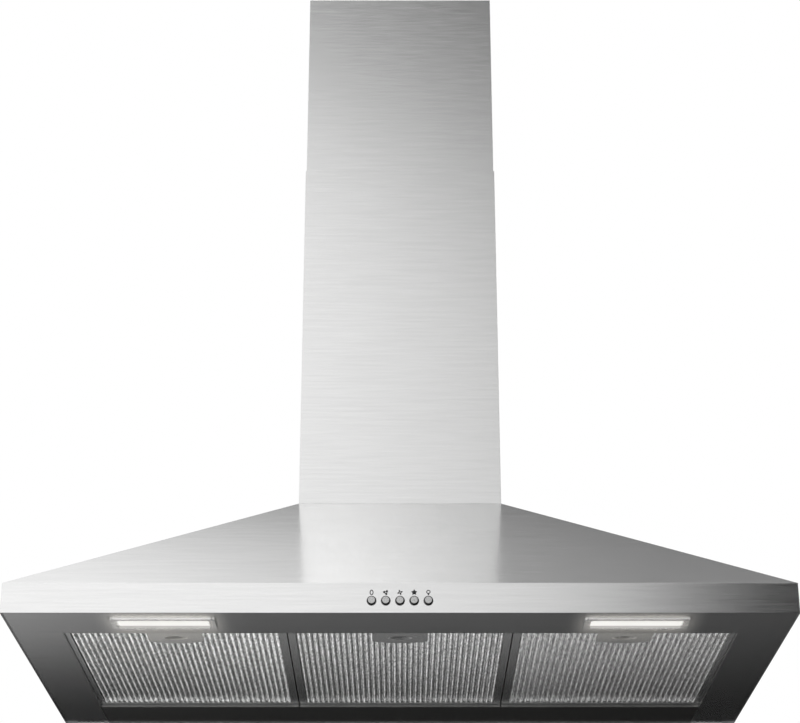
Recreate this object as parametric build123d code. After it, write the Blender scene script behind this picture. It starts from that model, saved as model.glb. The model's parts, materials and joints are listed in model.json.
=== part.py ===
from build123d import *
import math
import os

# Wall-mounted chimney range hood, in millimetres.
# +Z is up, +X is the user's right and the wall is the plane Y = 0, with the hood on its -Y side.
# Heights below are given above the rim's bottom edge. The origin is the centre of the four
# wall fixing holes, so every finished piece is lowered by fixing_centre_height.

# ---- overall sizes ----
hood_width = 898.0
hood_depth = 510.0
rim_height = 35.0
canopy_height = 228.0
sheet = 0.8
chimney_width = 260.0
chimney_depth = 240.0
lower_chimney_length = 487.0
upper_chimney_length = 490.0
chimney_reach = 767.0
chimney_gap = 0.4
chimney_return = 14.0
chimney_tab = 12.0
top_flange = 14.0

# ---- small general sizes: past is how far a cut reaches beyond the face that it opens ----
past = 1.0
touch_gap = 0.3
seat_gap = 0.1
press_gap = 0.02
shaft_gap = 0.05

# ---- wall fixing ----
fixing_centre_height = 125.0
fixing_spacing_x = 250.0
fixing_spacing_z = 130.0
fixing_hole_radius = 4.0
vent_slot_count = 6
vent_slot_pitch = 6.2
vent_slot_length = 4.4
vent_slot_height = 1.2
vent_slot_bottom = 0.4
vent_first_inset = 17.3
vent_hole_inset = 56.3
vent_hole_radius = 0.7

# ---- underside ----
panel_recess = 2.0
outer_hem = 5.0
side_border = 57.2
front_border = 87.0
opening_flange = 10.0
strip_front = 83.0
strip_play = 0.6
ledge_top = 5.7
ledge_depth = 10.0
strip_hem = 8.0
joint_notch = 1.8

# ---- filters ----
filter_spacing = 263.7
filter_between = 1.4
filter_side_gap = 0.4
filter_height = 9.0
filter_front_gap = 3.0
filter_rear_gap = 0.6
frame_wall = 0.8
frame_front_bar = 8.0
frame_rear_bar = 6.5
window_width = 244.4
pleat_pitch = 6.65
pleat_sheet = 1.0
lug_width = 20.0
lug_length = 8.0
lug_thick = 1.2
lug_spacing = 120.0
handle_width = 65.0
handle_straight = 36.6
handle_bulge = 7.6
handle_body_width = 44.0
handle_body_length = 34.0
recess_width = 30.0
recess_length = 14.0
recess_depth = 6.0
recess_centre = 23.0
latch_width = 24.0
latch_thick = 2.4
latch_floor = 3.3
latch_length = 32.0
latch_travel = 4.0
latch_nose_width = 16.0
latch_nose_reach = 2.6
latch_tab_width = 12.0
latch_tab_thick = 1.6
latch_tab_inset = 20.6
latch_tab_drop = 2.6
latch_play = 0.35
keeper_slot_width = 20.0

# ---- lamps ----
lamp_offset = 6.3
lamp_inset = 46.6
bezel_length = 121.0
bezel_width = 42.0
bezel_corner = 7.0
bezel_chamfer = 0.6
lens_length = 105.4
lens_width = 30.0
lens_corner = 3.0
lens_recess = 3.3
lens_thick = 2.0
skirt_wall = 2.0
skirt_height = 12.0
lamp_board_thick = 1.6
lamp_board_margin = 2.0
lamp_led_count = 8
lamp_led_size = 3.0
lamp_led_height = 0.8
lamp_cover_thick = 3.0
lamp_clip_width = 18.0
lamp_clip_thick = 1.2
lamp_plug_radius = 3.0
lamp_plug_height = 4.0

# ---- push buttons and switch ----
button_names = ["button_off", "button_speed_1", "button_speed_2", "button_speed_3", "button_light"]
button_pitch = 16.0
button_height = 14.2
button_radius = 5.0
button_proud = 3.4
button_dome = 1.2
button_travel = 3.0
button_collar_radius = 6.2
button_collar_thick = 1.0
button_stem_radius = 3.0
button_stem_length = 13.0
switch_length = 88.0
switch_depth = 25.0
switch_height = 14.0
switch_spring_room = 3.0
bracket_sheet = 1.0
bracket_foot = 14.0
switch_plug_size = 10.0
switch_neck_size = 5.0

# ---- blower ----
scroll_y = -112.0
scroll_z = 132.0
scroll_radius = 70.0
scroll_step = 9.0
housing_half_width = 90.0
housing_wall = 2.0
housing_flange = 11.0
housing_flange_thick = 2.5
inlet_radius = 50.0
inlet_lip = 10.0
boss_radius = 4.5
boss_length = 9.0
boss_offset = 3.4
boss_screw_radius = 1.6
boss_screw_head = 3.0
boss_screw_length = 17.0
boss_angles = [35, -40, -110, -165]
wheel_y = -115.0
wheel_z = 134.0
wheel_radius = 60.0
wheel_length = 150.0
blade_count = 24
blade_depth = 11.0
blade_width = 9.9
blade_thick = 1.2
blade_tilt = 25.0
wheel_ring = 2.0
wheel_disc = 3.0
hub_radius = 10.0
hub_length = 30.0
motor_radius = 38.0
motor_edge = 3.0
motor_end_gap = 14.0
shaft_radius = 4.0
shaft_depth = 45.0
shaft_beyond_hub = 4.0
cradle_sheet = 2.0
cradle_arm_width = 12.0
cradle_ring_radius = 64.0
cradle_plate_radius = 30.0
cradle_arm_count = 3
rubber_radius = 6.0
rubber_thick = 3.0
guard_wire = 2.0
guard_rings = 4
guard_ribs = 3
guard_rim = 6.0

# ---- air outlet ----
deck_sheet = 1.2
duct_radius = 75.0
duct_length = 55.0
duct_wall = 2.0
transition_height = 45.0
transition_flange = 8.0
flap_gap = 1.2
flap_thick = 1.2
flap_drop = 1.8
flap_edge_gap = 1.0
flap_height = 12.0
knuckle_radius = 3.0
knuckle_length = 20.0
knuckle_spacing = 64.0
flap_pin_radius = 1.5
flap_stop_depth = 3.0
flap_stop_thick = 1.2

# ---- chimney bracket ----
bracket_drop = 25.0
bracket_height = 30.0
bracket_wing = 32.0
bracket_flat_width = 180.0
bracket_hole_spacing = 120.0
bracket_hole_radius = 3.5
chimney_screw_radius = 2.0
chimney_screw_head = 3.6
chimney_screw_head_height = 1.6
chimney_screw_length = 6.0
chimney_screw_inset = 16.0

# ---- electrical box, gland, capacitor and leads ----
box_x = 200.0
box_width = 100.0
box_height = 70.0
box_depth = 34.0
box_base_height = 62.0
box_wall = 2.0
box_lid = 2.5
box_screw_inset = 6.0
box_post_radius = 4.6
gland_inset = 30.0
gland_y = -26.0
gland_radius = 9.0
gland_bore = 4.0
gland_flange_radius = 12.0
gland_flange = 2.0
gland_height = 16.0
capacitor_x = -190.0
capacitor_radius = 15.0
capacitor_length = 52.0
capacitor_base_height = 70.0
capacitor_edge = 2.0
strap_thick = 1.0
strap_height = 12.0
strap_width = 20.0
lead_radius = 2.0
switch_lead_radius = 2.5
lead_drop = 18.0
switch_lead_entry = (20.0, 12.0)
lamp_lead_entry_right = (36.0, 14.0)
lamp_lead_entry_left = (-34.0, 14.0)
motor_lead_entry = (16.0, 20.0)
motor_lead_exit = (4.0, -6.0)

# ---- screws ----
screw_radius = 2.0
screw_head_radius = 3.8
screw_head_height = 1.8
screw_length = 8.0

# ---- sizes that follow from the ones above ----
half_width = hood_width / 2
half_chimney = chimney_width / 2
slope_height = canopy_height - rim_height
front_run = hood_depth - chimney_depth
side_run = half_width - half_chimney
front_wall_inset = sheet * math.hypot(slope_height, front_run) / slope_height
side_wall_inset = sheet * math.hypot(slope_height, side_run) / slope_height
panel_bottom = panel_recess
panel_top = panel_recess + sheet
half_opening = half_width - side_border
opening_front = hood_depth - front_border
filter_half = (filter_spacing - filter_between) / 2
filter_outer_half = half_opening - filter_side_gap - filter_spacing
deck_top = canopy_height - sheet
deck_bottom = deck_top - deck_sheet
filter_bottom = ledge_top + touch_gap
filter_top = filter_bottom + filter_height
filter_front = -opening_front + filter_front_gap
filter_rear = -strip_front - filter_rear_gap
mesh_front = filter_front + frame_front_bar
mesh_rear = filter_rear - frame_rear_bar
filter_centres = {"left": -filter_spacing, "centre": 0.0, "right": filter_spacing}
lamp_x = filter_spacing + lamp_offset
lamp_y = -hood_depth + lamp_inset
lamp_centres = {"left": -lamp_x, "right": lamp_x}
skirt_top = panel_bottom + skirt_height
outlet_rear = scroll_y
outlet_front = scroll_y - scroll_radius - 3 * scroll_step
duct_y = -chimney_depth / 2
duct_bottom = deck_top + transition_height
duct_top = duct_bottom + duct_length
flap_axis_z = duct_bottom + flap_height
gland_x = half_chimney - gland_inset
upper_half = half_chimney - sheet - chimney_gap
upper_depth = chimney_depth - sheet - chimney_gap
upper_top = canopy_height + chimney_reach
upper_bottom = upper_top - upper_chimney_length
lower_top = canopy_height + lower_chimney_length
rim_inner = -hood_depth + sheet
collar_front = rim_inner + touch_gap
collar_rear = collar_front + button_collar_thick
switch_front = collar_rear + button_travel + touch_gap
switch_bore_end = collar_front + button_stem_length + button_travel + switch_spring_room
switch_plug_x = switch_length / 2 - switch_plug_size
switch_rear = switch_front + switch_depth
switch_bottom = button_height - switch_height / 2


def block(x_low, x_high, y_low, y_high, z_low, z_high):
    """A box given by its two corners."""
    centre = Pos((x_low + x_high) / 2, (y_low + y_high) / 2, (z_low + z_high) / 2)
    return centre * Box(x_high - x_low, y_high - y_low, z_high - z_low)


def rod(radius, start, end):
    """A round bar between two points."""
    start = Vector(*start)
    end = Vector(*end)
    plane = Plane(origin=start, z_dir=end - start)
    return plane * Cylinder(radius, (end - start).length, align=(Align.CENTER, Align.CENTER, Align.MIN))


def side_block(side, inner, outer, y_low, y_high, z_low, z_high):
    """A box on the right (side 1) or left (side -1), given by its distances from the middle."""
    ends = sorted((side * inner, side * outer))
    return block(ends[0], ends[1], y_low, y_high, z_low, z_high)


def rounded_slab(length, width, corner, centre, z_low, z_high):
    """A flat slab with rounded corners, centred on an XY point."""
    outline = Plane.XY.offset(z_low) * Pos(*centre) * RectangleRounded(length, width, corner)
    return extrude(outline, amount=z_high - z_low, dir=(0, 0, 1))


def outline_face(points):
    return Face(Wire.make_polygon([Vector(*point) for point in points], close=True))


def straight_loft(lower, upper):
    """A solid with flat faces between two outlines that have the same number of corners."""
    count = len(lower)
    faces = [outline_face(lower), outline_face(upper)]
    for index in range(count):
        after = (index + 1) % count
        faces.append(outline_face([lower[index], lower[after], upper[after], upper[index]]))
    return Part(Solid(Shell(faces)).wrapped)


def rectangle_at(half, front, rear, z):
    """Four corners of a rectangle that is symmetric in X."""
    return [(-half, front, z), (half, front, z), (half, rear, z), (-half, rear, z)]


def write(name, shape):
    """Lower the piece so that the fixing holes' centre is the origin, and save it."""
    placed = shape.moved(Location((0, 0, -fixing_centre_height)))
    export_step(placed, os.path.join("parts", name + ".step"))


def screw(head_seat, direction, head_radius=screw_head_radius, head_height=screw_head_height,
          radius=screw_radius, length=screw_length):
    """A pan-head screw. head_seat is the point where its head meets the sheet, and direction is
    the way that its shank goes."""
    seat = Vector(*head_seat)
    way = Vector(*direction)
    shank = rod(radius, seat, seat + way * length)
    head = rod(head_radius, seat - way * head_height, seat)
    return shank + head


# ---------------------------------------------------------------- canopy

def canopy_shell():
    """The rim and the pyramid, one sheet thick, open at the wall, with a flange round its top."""
    outer = block(-half_width, half_width, -hood_depth, -sheet, 0, rim_height)
    outer += straight_loft(rectangle_at(half_width, -hood_depth, -sheet, rim_height),
                           rectangle_at(half_chimney, -chimney_depth, -sheet, canopy_height))
    room = block(-half_width + sheet, half_width - sheet, rim_inner, past, -past, rim_height)
    flange_share = (deck_top - rim_height) / slope_height
    top_half = half_width - side_run * flange_share - side_wall_inset
    top_front = -hood_depth + front_run * flange_share + front_wall_inset
    room += straight_loft(
        rectangle_at(half_width - side_wall_inset, -hood_depth + front_wall_inset, past, rim_height),
        rectangle_at(top_half, top_front, past, deck_top))
    shell = outer - room
    mouth_half = half_chimney - top_flange
    shell -= block(-mouth_half, mouth_half, -chimney_depth + top_flange, past, deck_top - past,
                   canopy_height + past)
    for index in range(len(button_names)):
        x = button_x(index)
        shell -= rod(button_radius + touch_gap, (x, -hood_depth - past, button_height),
                     (x, rim_inner + past, button_height))
    for x, y in base_screw_points():
        shell -= rod(screw_radius + seat_gap, (x, y, deck_top - past), (x, y, canopy_height + past))
    return shell


def button_x(index):
    return (index - (len(button_names) - 1) / 2) * button_pitch


def fixing_points():
    points = []
    for x in (-fixing_spacing_x / 2, fixing_spacing_x / 2):
        for z in (-fixing_spacing_z / 2, fixing_spacing_z / 2):
            points.append((x, fixing_centre_height + z))
    return points


def rear_panel():
    """The flat back sheet, with four wall fixing holes and small vents in its bottom lip."""
    corners = [(-half_width, 0), (half_width, 0), (half_width, rim_height),
               (half_chimney, canopy_height), (-half_chimney, canopy_height), (-half_width, rim_height)]
    face = outline_face([(x, -sheet, z) for x, z in corners])
    panel = extrude(face, amount=sheet, dir=(0, 1, 0))
    for x, z in fixing_points():
        panel -= rod(fixing_hole_radius, (x, -sheet - past, z), (x, past, z))
    for side in (-1, 1):
        for index in range(vent_slot_count):
            x = side * (half_width - vent_first_inset - index * vent_slot_pitch)
            panel -= block(x - vent_slot_length / 2, x + vent_slot_length / 2, -sheet - past, past,
                           vent_slot_bottom, vent_slot_bottom + vent_slot_height)
        x = side * (half_width - vent_hole_inset)
        z = vent_slot_bottom + vent_slot_height / 2
        panel -= rod(vent_hole_radius, (x, -sheet - past, z), (x, past, z))
    return panel


def base_panel():
    """The underside's sheet round the front and sides of the filter opening, hemmed at its edges."""
    inner_half = half_width - sheet
    hem_top = panel_bottom + outer_hem
    flange_top = panel_bottom + opening_flange
    tray = block(-inner_half, inner_half, rim_inner, -sheet, panel_bottom, hem_top)
    tray -= block(-inner_half + sheet, inner_half - sheet, rim_inner + sheet, past, panel_top,
                  hem_top + past)
    collar = block(-half_opening - sheet, half_opening + sheet, -opening_front - sheet, -sheet,
                   panel_bottom, flange_top)
    tray += collar
    tray -= block(-half_opening, half_opening, -opening_front, past, panel_bottom - past,
                  flange_top + past)
    for centre in lamp_centres.values():
        tray -= rounded_slab(lens_length + 2 * skirt_wall + 2 * touch_gap, lens_width + 2 * skirt_wall
                             + 2 * touch_gap, lens_corner + skirt_wall, (centre, lamp_y),
                             panel_bottom - past, panel_top + past)
    latch_low = filter_bottom + latch_floor - touch_gap
    for centre in filter_centres.values():
        tray -= block(centre - keeper_slot_width / 2, centre + keeper_slot_width / 2,
                      -opening_front - sheet - past, -opening_front + past, latch_low, flange_top + past)
    return tray


def rear_strip():
    """The sheet behind the filters: its front edge is folded up into the ledge that carries them."""
    half = half_opening - strip_play
    strip = block(-half, half, -strip_front, -sheet, panel_bottom, panel_top)
    strip += block(-half, half, -strip_front, -strip_front + sheet, panel_bottom, ledge_top)
    strip += block(-half, half, -strip_front, -strip_front + ledge_depth, ledge_top - sheet, ledge_top)
    strip += block(-half, half, -2 * sheet, -sheet, panel_bottom, panel_bottom + strip_hem)
    for side in (-1, 1):
        x = side * filter_spacing / 2
        strip -= block(x - joint_notch / 2, x + joint_notch / 2, -strip_front - past,
                       -strip_front + sheet, panel_top, ledge_top - sheet)
    return strip


def deck_plate():
    """The plate under the canopy's top flange that the blower hangs from."""
    half = half_chimney - sheet
    plate = block(-half, half, -chimney_depth + sheet, -sheet, deck_bottom, deck_top)
    plate -= block(-housing_half_width + housing_wall, housing_half_width - housing_wall,
                   outlet_front + housing_wall, outlet_rear - housing_wall, deck_bottom - past,
                   deck_top + past)
    plate -= rod(gland_radius + seat_gap, (gland_x, gland_y, deck_bottom - past),
                 (gland_x, gland_y, deck_top + past))
    for x, y in blower_screw_points() + base_screw_points():
        plate -= rod(screw_radius + seat_gap, (x, y, deck_bottom - past), (x, y, deck_top + past))
    return plate


def blower_screw_points():
    x = housing_half_width + housing_flange / 2
    y_middle = (outlet_front + outlet_rear) / 2
    y_reach = (outlet_rear - outlet_front) / 2 - housing_flange
    return [(side * x, y_middle + end * y_reach) for side in (-1, 1) for end in (-1, 1)]


def base_screw_points():
    x = half_chimney - sheet - (chimney_tab - sheet) / 2
    y_middle = -chimney_depth / 2
    return [(side * x, y_middle + end * chimney_depth / 4) for side in (-1, 1) for end in (-1, 1)]


# ---------------------------------------------------------------- chimney

def channel(half, depth, rear, z_low, z_high):
    """A sheet bent round the front and sides, with short returns along its rear edges."""
    body = block(-half, half, -depth, rear, z_low, z_high)
    body -= block(-half + sheet, half - sheet, -depth + sheet, rear - sheet, z_low - past, z_high + past)
    mouth = half - chimney_return
    body -= block(-mouth, mouth, rear - sheet - past, rear + past, z_low - past, z_high + past)
    return body


def lower_chimney():
    duct = channel(half_chimney, chimney_depth, 0, canopy_height, lower_top)
    for side in (-1, 1):
        duct += side_block(side, half_chimney - chimney_tab, half_chimney - sheet,
                           -chimney_depth * 3 / 4 - chimney_tab, -chimney_depth / 4 + chimney_tab,
                           canopy_height, canopy_height + sheet)
    for x, y in base_screw_points():
        duct -= rod(screw_radius + seat_gap, (x, y, canopy_height - past),
                    (x, y, canopy_height + sheet + past))
    return duct


def bracket_centre_height():
    return upper_top - bracket_drop


def chimney_screw_y():
    return -sheet - chimney_gap - sheet - chimney_screw_inset


def upper_chimney():
    duct = channel(upper_half, upper_depth, -sheet - chimney_gap, upper_bottom, upper_top)
    y = chimney_screw_y()
    z = bracket_centre_height()
    for side in (-1, 1):
        duct -= rod(chimney_screw_radius + seat_gap, (side * (upper_half + past), y, z),
                    (side * (upper_half - sheet - past), y, z))
    return duct


def chimney_bracket():
    """The wall bracket inside the upper chimney: a flat centre on the wall, ends that step in
    front of the chimney's returns, and a wing along each side."""
    centre = bracket_centre_height()
    z_low = centre - bracket_height / 2
    z_high = centre + bracket_height / 2
    flat = bracket_flat_width / 2
    step_front = -sheet - chimney_gap - sheet - bracket_sheet
    step_rear = step_front + bracket_sheet
    wing_face = upper_half - sheet
    plate = block(-flat, flat, -bracket_sheet, 0, z_low, z_high)
    for side in (-1, 1):
        plate += side_block(side, flat - bracket_sheet, flat, step_front, 0, z_low, z_high)
        plate += side_block(side, flat - bracket_sheet, wing_face, step_front, step_rear, z_low, z_high)
        plate += side_block(side, wing_face - bracket_sheet, wing_face, step_front - bracket_wing,
                            step_rear, z_low, z_high)
        y = chimney_screw_y()
        plate -= rod(chimney_screw_radius + press_gap, (side * (wing_face + past), y, centre),
                     (side * (wing_face - bracket_sheet - past), y, centre))
        x = side * bracket_hole_spacing / 2
        plate -= rod(bracket_hole_radius, (x, -bracket_sheet - past, centre), (x, past, centre))
    return plate


def chimney_bracket_screws():
    screws = []
    for side in (-1, 1):
        seat = (side * upper_half, chimney_screw_y(), bracket_centre_height())
        screws.append(screw(seat, (-side, 0, 0), chimney_screw_head, chimney_screw_head_height,
                            chimney_screw_radius, chimney_screw_length))
    return Compound(screws)


def chimney_base_screws():
    screws = []
    for x, y in base_screw_points():
        screws.append(screw((x, y, canopy_height + sheet), (0, 0, -1)))
    return Compound(screws)


# ---------------------------------------------------------------- blower

def scroll_outline(grow):
    """The volute seen along X: three quarter arcs whose radii step up and whose centres shift by
    the same step, then a straight wall up to the deck. grow moves the outline outwards."""
    first = scroll_radius + grow
    second = first + scroll_step
    third = second + scroll_step
    second_y = scroll_y - scroll_step
    third_z = scroll_z + scroll_step
    diagonal = math.sqrt(0.5)
    top = deck_bottom
    start = (0, scroll_y + grow, top)
    tongue = (0, scroll_y + grow, scroll_z + math.sqrt(first ** 2 - grow ** 2))
    rear = (0, scroll_y + first, scroll_z)
    rear_turn = math.atan2(math.sqrt(first ** 2 - grow ** 2), grow) / 2
    rear_middle = (0, scroll_y + first * math.cos(rear_turn), scroll_z + first * math.sin(rear_turn))
    bottom = (0, second_y, scroll_z - second)
    bottom_middle = (0, second_y + second * diagonal, scroll_z - second * diagonal)
    front = (0, second_y - third, third_z)
    front_middle = (0, second_y - third * diagonal, third_z - third * diagonal)
    end = (0, second_y - third, top)
    edges = [Line(start, tongue), ThreePointArc(tongue, rear_middle, rear),
             ThreePointArc(rear, bottom_middle, bottom), ThreePointArc(bottom, front_middle, front),
             Line(front, end), Line(end, start)]
    return Face(Wire([edge for curve in edges for edge in curve.edges()]))


def scroll_solid(grow, x_low, x_high):
    face = scroll_outline(grow).moved(Location((x_low, 0, 0)))
    return extrude(face, amount=x_high - x_low, dir=(1, 0, 0))


def boss_points():
    """Places round the volute for the screws that join its two halves, as (y, z). Each lies just
    outside the arc of the volute whose centre and radius it is measured from."""
    second_y = scroll_y - scroll_step
    third_z = scroll_z + scroll_step
    third_radius = scroll_radius + 2 * scroll_step
    arcs = [(scroll_y, scroll_z, scroll_radius), (second_y, scroll_z, scroll_radius + scroll_step),
            (second_y, third_z, third_radius), (second_y, third_z, third_radius)]
    points = []
    for (centre_y, centre_z, radius), angle in zip(arcs, boss_angles):
        reach = radius + housing_wall + boss_offset
        turn = math.radians(angle)
        points.append((centre_y + reach * math.cos(turn), centre_z + reach * math.sin(turn)))
    return points


def housing_half(side):
    """One half of the blower's housing, split at X = 0: volute wall, side plate with its inlet
    bell, screw bosses and its share of the flange under the deck."""
    width = housing_half_width
    ends = sorted((0, side * width))
    inner_ends = sorted((-side * past, side * (width - housing_wall)))
    shell = scroll_solid(housing_wall, ends[0], ends[1])
    for y, z in boss_points():
        shell += rod(boss_radius, (0, y, z), (side * boss_length, y, z))
    shell += side_block(side, 0, width + housing_flange, outlet_front - housing_flange,
                        outlet_rear + housing_flange, deck_bottom - housing_flange_thick, deck_bottom)
    shell += rod(inlet_radius + housing_wall, (side * (width - inlet_lip), wheel_y, wheel_z),
                 (side * width, wheel_y, wheel_z))
    room = scroll_solid(0, inner_ends[0], inner_ends[1])
    keep = rod(inlet_radius + housing_wall, (side * (width - inlet_lip), wheel_y, wheel_z),
               (side * width, wheel_y, wheel_z))
    shell -= room - keep
    shell -= rod(inlet_radius, (side * (width - inlet_lip - past), wheel_y, wheel_z),
                 (side * (width + past), wheel_y, wheel_z))
    shell -= side_block(side, -past, width - housing_wall, outlet_front, outlet_rear,
                        deck_bottom - housing_flange_thick - past, deck_bottom + past)
    for y, z in boss_points():
        shell -= rod(boss_screw_radius + seat_gap, (-side * past, y, z),
                     (side * (boss_length + past), y, z))
    for x, y in blower_screw_points():
        if x * side > 0:
            shell -= rod(screw_radius + seat_gap, (x, y, deck_bottom + past),
                         (x, y, deck_bottom - housing_flange_thick - past))
    if side < 0:
        for y, z in cradle_points():
            shell -= rod(screw_radius + seat_gap, (side * (width + past), y, z),
                         (side * (width - housing_wall - past), y, z))
    return shell


def cradle_points():
    """The three places round the left inlet where the motor cradle is mounted, as (y, z)."""
    points = []
    for index in range(cradle_arm_count):
        turn = 2 * math.pi * index / cradle_arm_count - math.pi / 2
        points.append((wheel_y + cradle_ring_radius * math.cos(turn),
                       wheel_z + cradle_ring_radius * math.sin(turn)))
    return points


def blower_housing_screws():
    screws = []
    for y, z in boss_points():
        screws.append(screw((-boss_length, y, z), (1, 0, 0), boss_screw_head, screw_head_height,
                            boss_screw_radius, boss_screw_length))
    return Compound(screws)


def blower_fixing_screws():
    screws = []
    for x, y in blower_screw_points():
        screws.append(screw((x, y, deck_top), (0, 0, -1)))
    return Compound(screws)


def impeller():
    """A double-inlet wheel: blades between two end rings, carried by a disc and hub in the middle."""
    def at(x):
        return (x, wheel_y, wheel_z)

    half = wheel_length / 2
    wheel = rod(wheel_radius, at(-wheel_disc / 2), at(wheel_disc / 2))
    wheel += rod(hub_radius, at(-wheel_disc / 2), at(hub_length))
    for side in (-1, 1):
        ends = sorted((side * (half - wheel_ring), side * half))
        ring = rod(wheel_radius, at(ends[0]), at(ends[1]))
        ring -= rod(wheel_radius - blade_depth, at(ends[0] - past), at(ends[1] + past))
        wheel += ring
    blades = []
    middle = wheel_radius - blade_depth / 2
    for index in range(blade_count):
        turn = 360 * index / blade_count
        blade = Pos(0, wheel_y, wheel_z) * Rot(turn, 0, 0) * Pos(0, middle, 0) * Rot(blade_tilt, 0, 0)
        blades.append(blade * Box(wheel_length, blade_width, blade_thick))
    wheel = wheel.fuse(*blades)
    wheel -= rod(shaft_radius + press_gap, at(-wheel_disc), at(hub_length + past))
    return wheel


def motor():
    def at(x):
        return (x, wheel_y, wheel_z)

    left = -housing_half_width
    body = rod(motor_radius, at(left), at(-motor_end_gap))
    body = fillet(body.edges().filter_by(GeomType.CIRCLE), motor_edge)
    body -= rod(shaft_radius + shaft_gap, at(-motor_end_gap - shaft_depth - past),
                at(-motor_end_gap + past))
    return body


def motor_shaft():
    start = -motor_end_gap - shaft_depth
    return rod(shaft_radius, (start, wheel_y, wheel_z), (hub_length + shaft_beyond_hub, wheel_y, wheel_z))


def motor_cradle():
    """A plate on the motor's end with three arms out to rubber mounts on the housing's side."""
    face = -housing_half_width - rubber_thick
    cradle = rod(cradle_plate_radius, (face - cradle_sheet, wheel_y, wheel_z),
                 (-housing_half_width, wheel_y, wheel_z))
    reach = cradle_ring_radius + cradle_arm_width / 2
    for y, z in cradle_points():
        turn = math.degrees(math.atan2(z - wheel_z, y - wheel_y))
        arm = Pos(face - cradle_sheet / 2, wheel_y, wheel_z) * Rot(turn, 0, 0) * Pos(0, reach / 2, 0)
        cradle += arm * Box(cradle_sheet, reach, cradle_arm_width)
    for y, z in cradle_points():
        cradle -= rod(screw_radius + seat_gap, (face - cradle_sheet - past, y, z), (face + past, y, z))
    return cradle


def motor_mounts():
    mounts = []
    face = -housing_half_width - rubber_thick
    for y, z in cradle_points():
        mount = rod(rubber_radius, (face, y, z), (-housing_half_width, y, z))
        mount -= rod(screw_radius + seat_gap, (face - past, y, z),
                     (-housing_half_width + past, y, z))
        mounts.append(mount)
    return Compound(mounts)


def cradle_screws():
    face = -housing_half_width - rubber_thick - cradle_sheet
    screws = []
    for y, z in cradle_points():
        screws.append(screw((face, y, z), (1, 0, 0)))
    return Compound(screws)


def inlet_guard():
    """Rings and ribs over the right-hand inlet, flat on the housing's side."""
    x_low = housing_half_width
    x_high = x_low + guard_wire

    def ring(outer, inner):
        piece = rod(outer, (x_low, wheel_y, wheel_z), (x_high, wheel_y, wheel_z))
        if inner > 0:
            piece -= rod(inner, (x_low - past, wheel_y, wheel_z), (x_high + past, wheel_y, wheel_z))
        return piece

    step = inlet_radius / guard_rings
    guard = ring(inlet_radius + guard_rim, inlet_radius - guard_wire / 2)
    guard += ring(step / 2, 0)
    for index in range(1, guard_rings):
        guard += ring(step * index + guard_wire / 2, step * index - guard_wire / 2)
    for index in range(guard_ribs):
        turn = 180 * index / guard_ribs
        rib = Pos((x_low + x_high) / 2, wheel_y, wheel_z) * Rot(turn, 0, 0)
        guard += rib * Box(guard_wire, 2 * inlet_radius, guard_wire)
    return guard


# ---------------------------------------------------------------- air outlet

def outlet_transition():
    """The duct from the blower's oblong outlet to the round spigot, with the spigot's flap stop."""
    half = housing_half_width - housing_wall
    front = outlet_front + housing_wall
    rear = outlet_rear - housing_wall

    def oblong(grow, z):
        return Pos((0, (front + rear) / 2, z)) * Rectangle(2 * (half + grow), rear - front + 2 * grow)

    def circle(grow, z):
        return Pos((0, duct_y, z)) * Circle(duct_radius - duct_wall + grow)

    duct = loft([oblong(0, deck_top), circle(duct_wall, duct_bottom)])
    duct += rod(duct_radius, (0, duct_y, duct_bottom), (0, duct_y, duct_top))
    duct += block(-half - transition_flange, half + transition_flange, front - transition_flange,
                  rear + transition_flange, deck_top, deck_top + housing_wall)
    air = loft([oblong(-duct_wall, deck_top), circle(0, duct_bottom)])
    air += rod(duct_radius - duct_wall, (0, duct_y, duct_bottom), (0, duct_y, duct_top + past))
    duct -= air
    for x, y in blower_screw_points():
        duct -= rod(screw_head_radius + touch_gap, (x, y, deck_top - past),
                    (x, y, deck_top + housing_wall + past))
    stop_top = flap_axis_z - flap_drop - flap_thick / 2 - touch_gap
    stop_bottom = stop_top - flap_stop_thick
    stop = rod(duct_radius - duct_wall / 2, (0, duct_y, stop_bottom), (0, duct_y, stop_top))
    stop -= rod(duct_radius - duct_wall - flap_stop_depth, (0, duct_y, stop_bottom - past),
                (0, duct_y, stop_top + past))
    duct += stop
    for side in (-1, 1):
        duct -= rod(flap_pin_radius + press_gap, (side * (duct_radius + past), duct_y, flap_axis_z),
                    (side * (duct_radius - duct_wall - past), duct_y, flap_axis_z))
    return duct


def damper_flap(side):
    """A half-round flap on two knuckles. side -1 is the front flap and 1 is the rear one. It hangs
    a little below the pin, so that the two stay apart when both stand open."""
    z_high = flap_axis_z - flap_drop + flap_thick / 2
    z_low = z_high - flap_thick
    radius = duct_radius - duct_wall - flap_gap
    disc = rod(radius, (0, duct_y, z_low), (0, duct_y, z_high))
    ends = sorted((duct_y + side * (radius + past), duct_y + side * flap_edge_gap))
    disc &= block(-radius - past, radius + past, ends[0], ends[1], z_low - past, z_high + past)
    for end in (-1, 1):
        first = end * knuckle_spacing / 2 + side * (knuckle_length / 2 + touch_gap)
        ends_x = (first - knuckle_length / 2, first + knuckle_length / 2)
        disc += rod(knuckle_radius, (ends_x[0], duct_y, flap_axis_z), (ends_x[1], duct_y, flap_axis_z))
        disc -= rod(flap_pin_radius + shaft_gap, (ends_x[0] - past, duct_y, flap_axis_z),
                    (ends_x[1] + past, duct_y, flap_axis_z))
    for end in (-1, 1):
        other = end * knuckle_spacing / 2 - side * (knuckle_length / 2 + touch_gap)
        reach = knuckle_length / 2 + touch_gap
        disc -= rod(knuckle_radius + touch_gap, (other - reach, duct_y, flap_axis_z),
                    (other + reach, duct_y, flap_axis_z))
    return disc


def damper_pin():
    return rod(flap_pin_radius, (-duct_radius, duct_y, flap_axis_z), (duct_radius, duct_y, flap_axis_z))


# ---------------------------------------------------------------- electrical pieces

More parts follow.
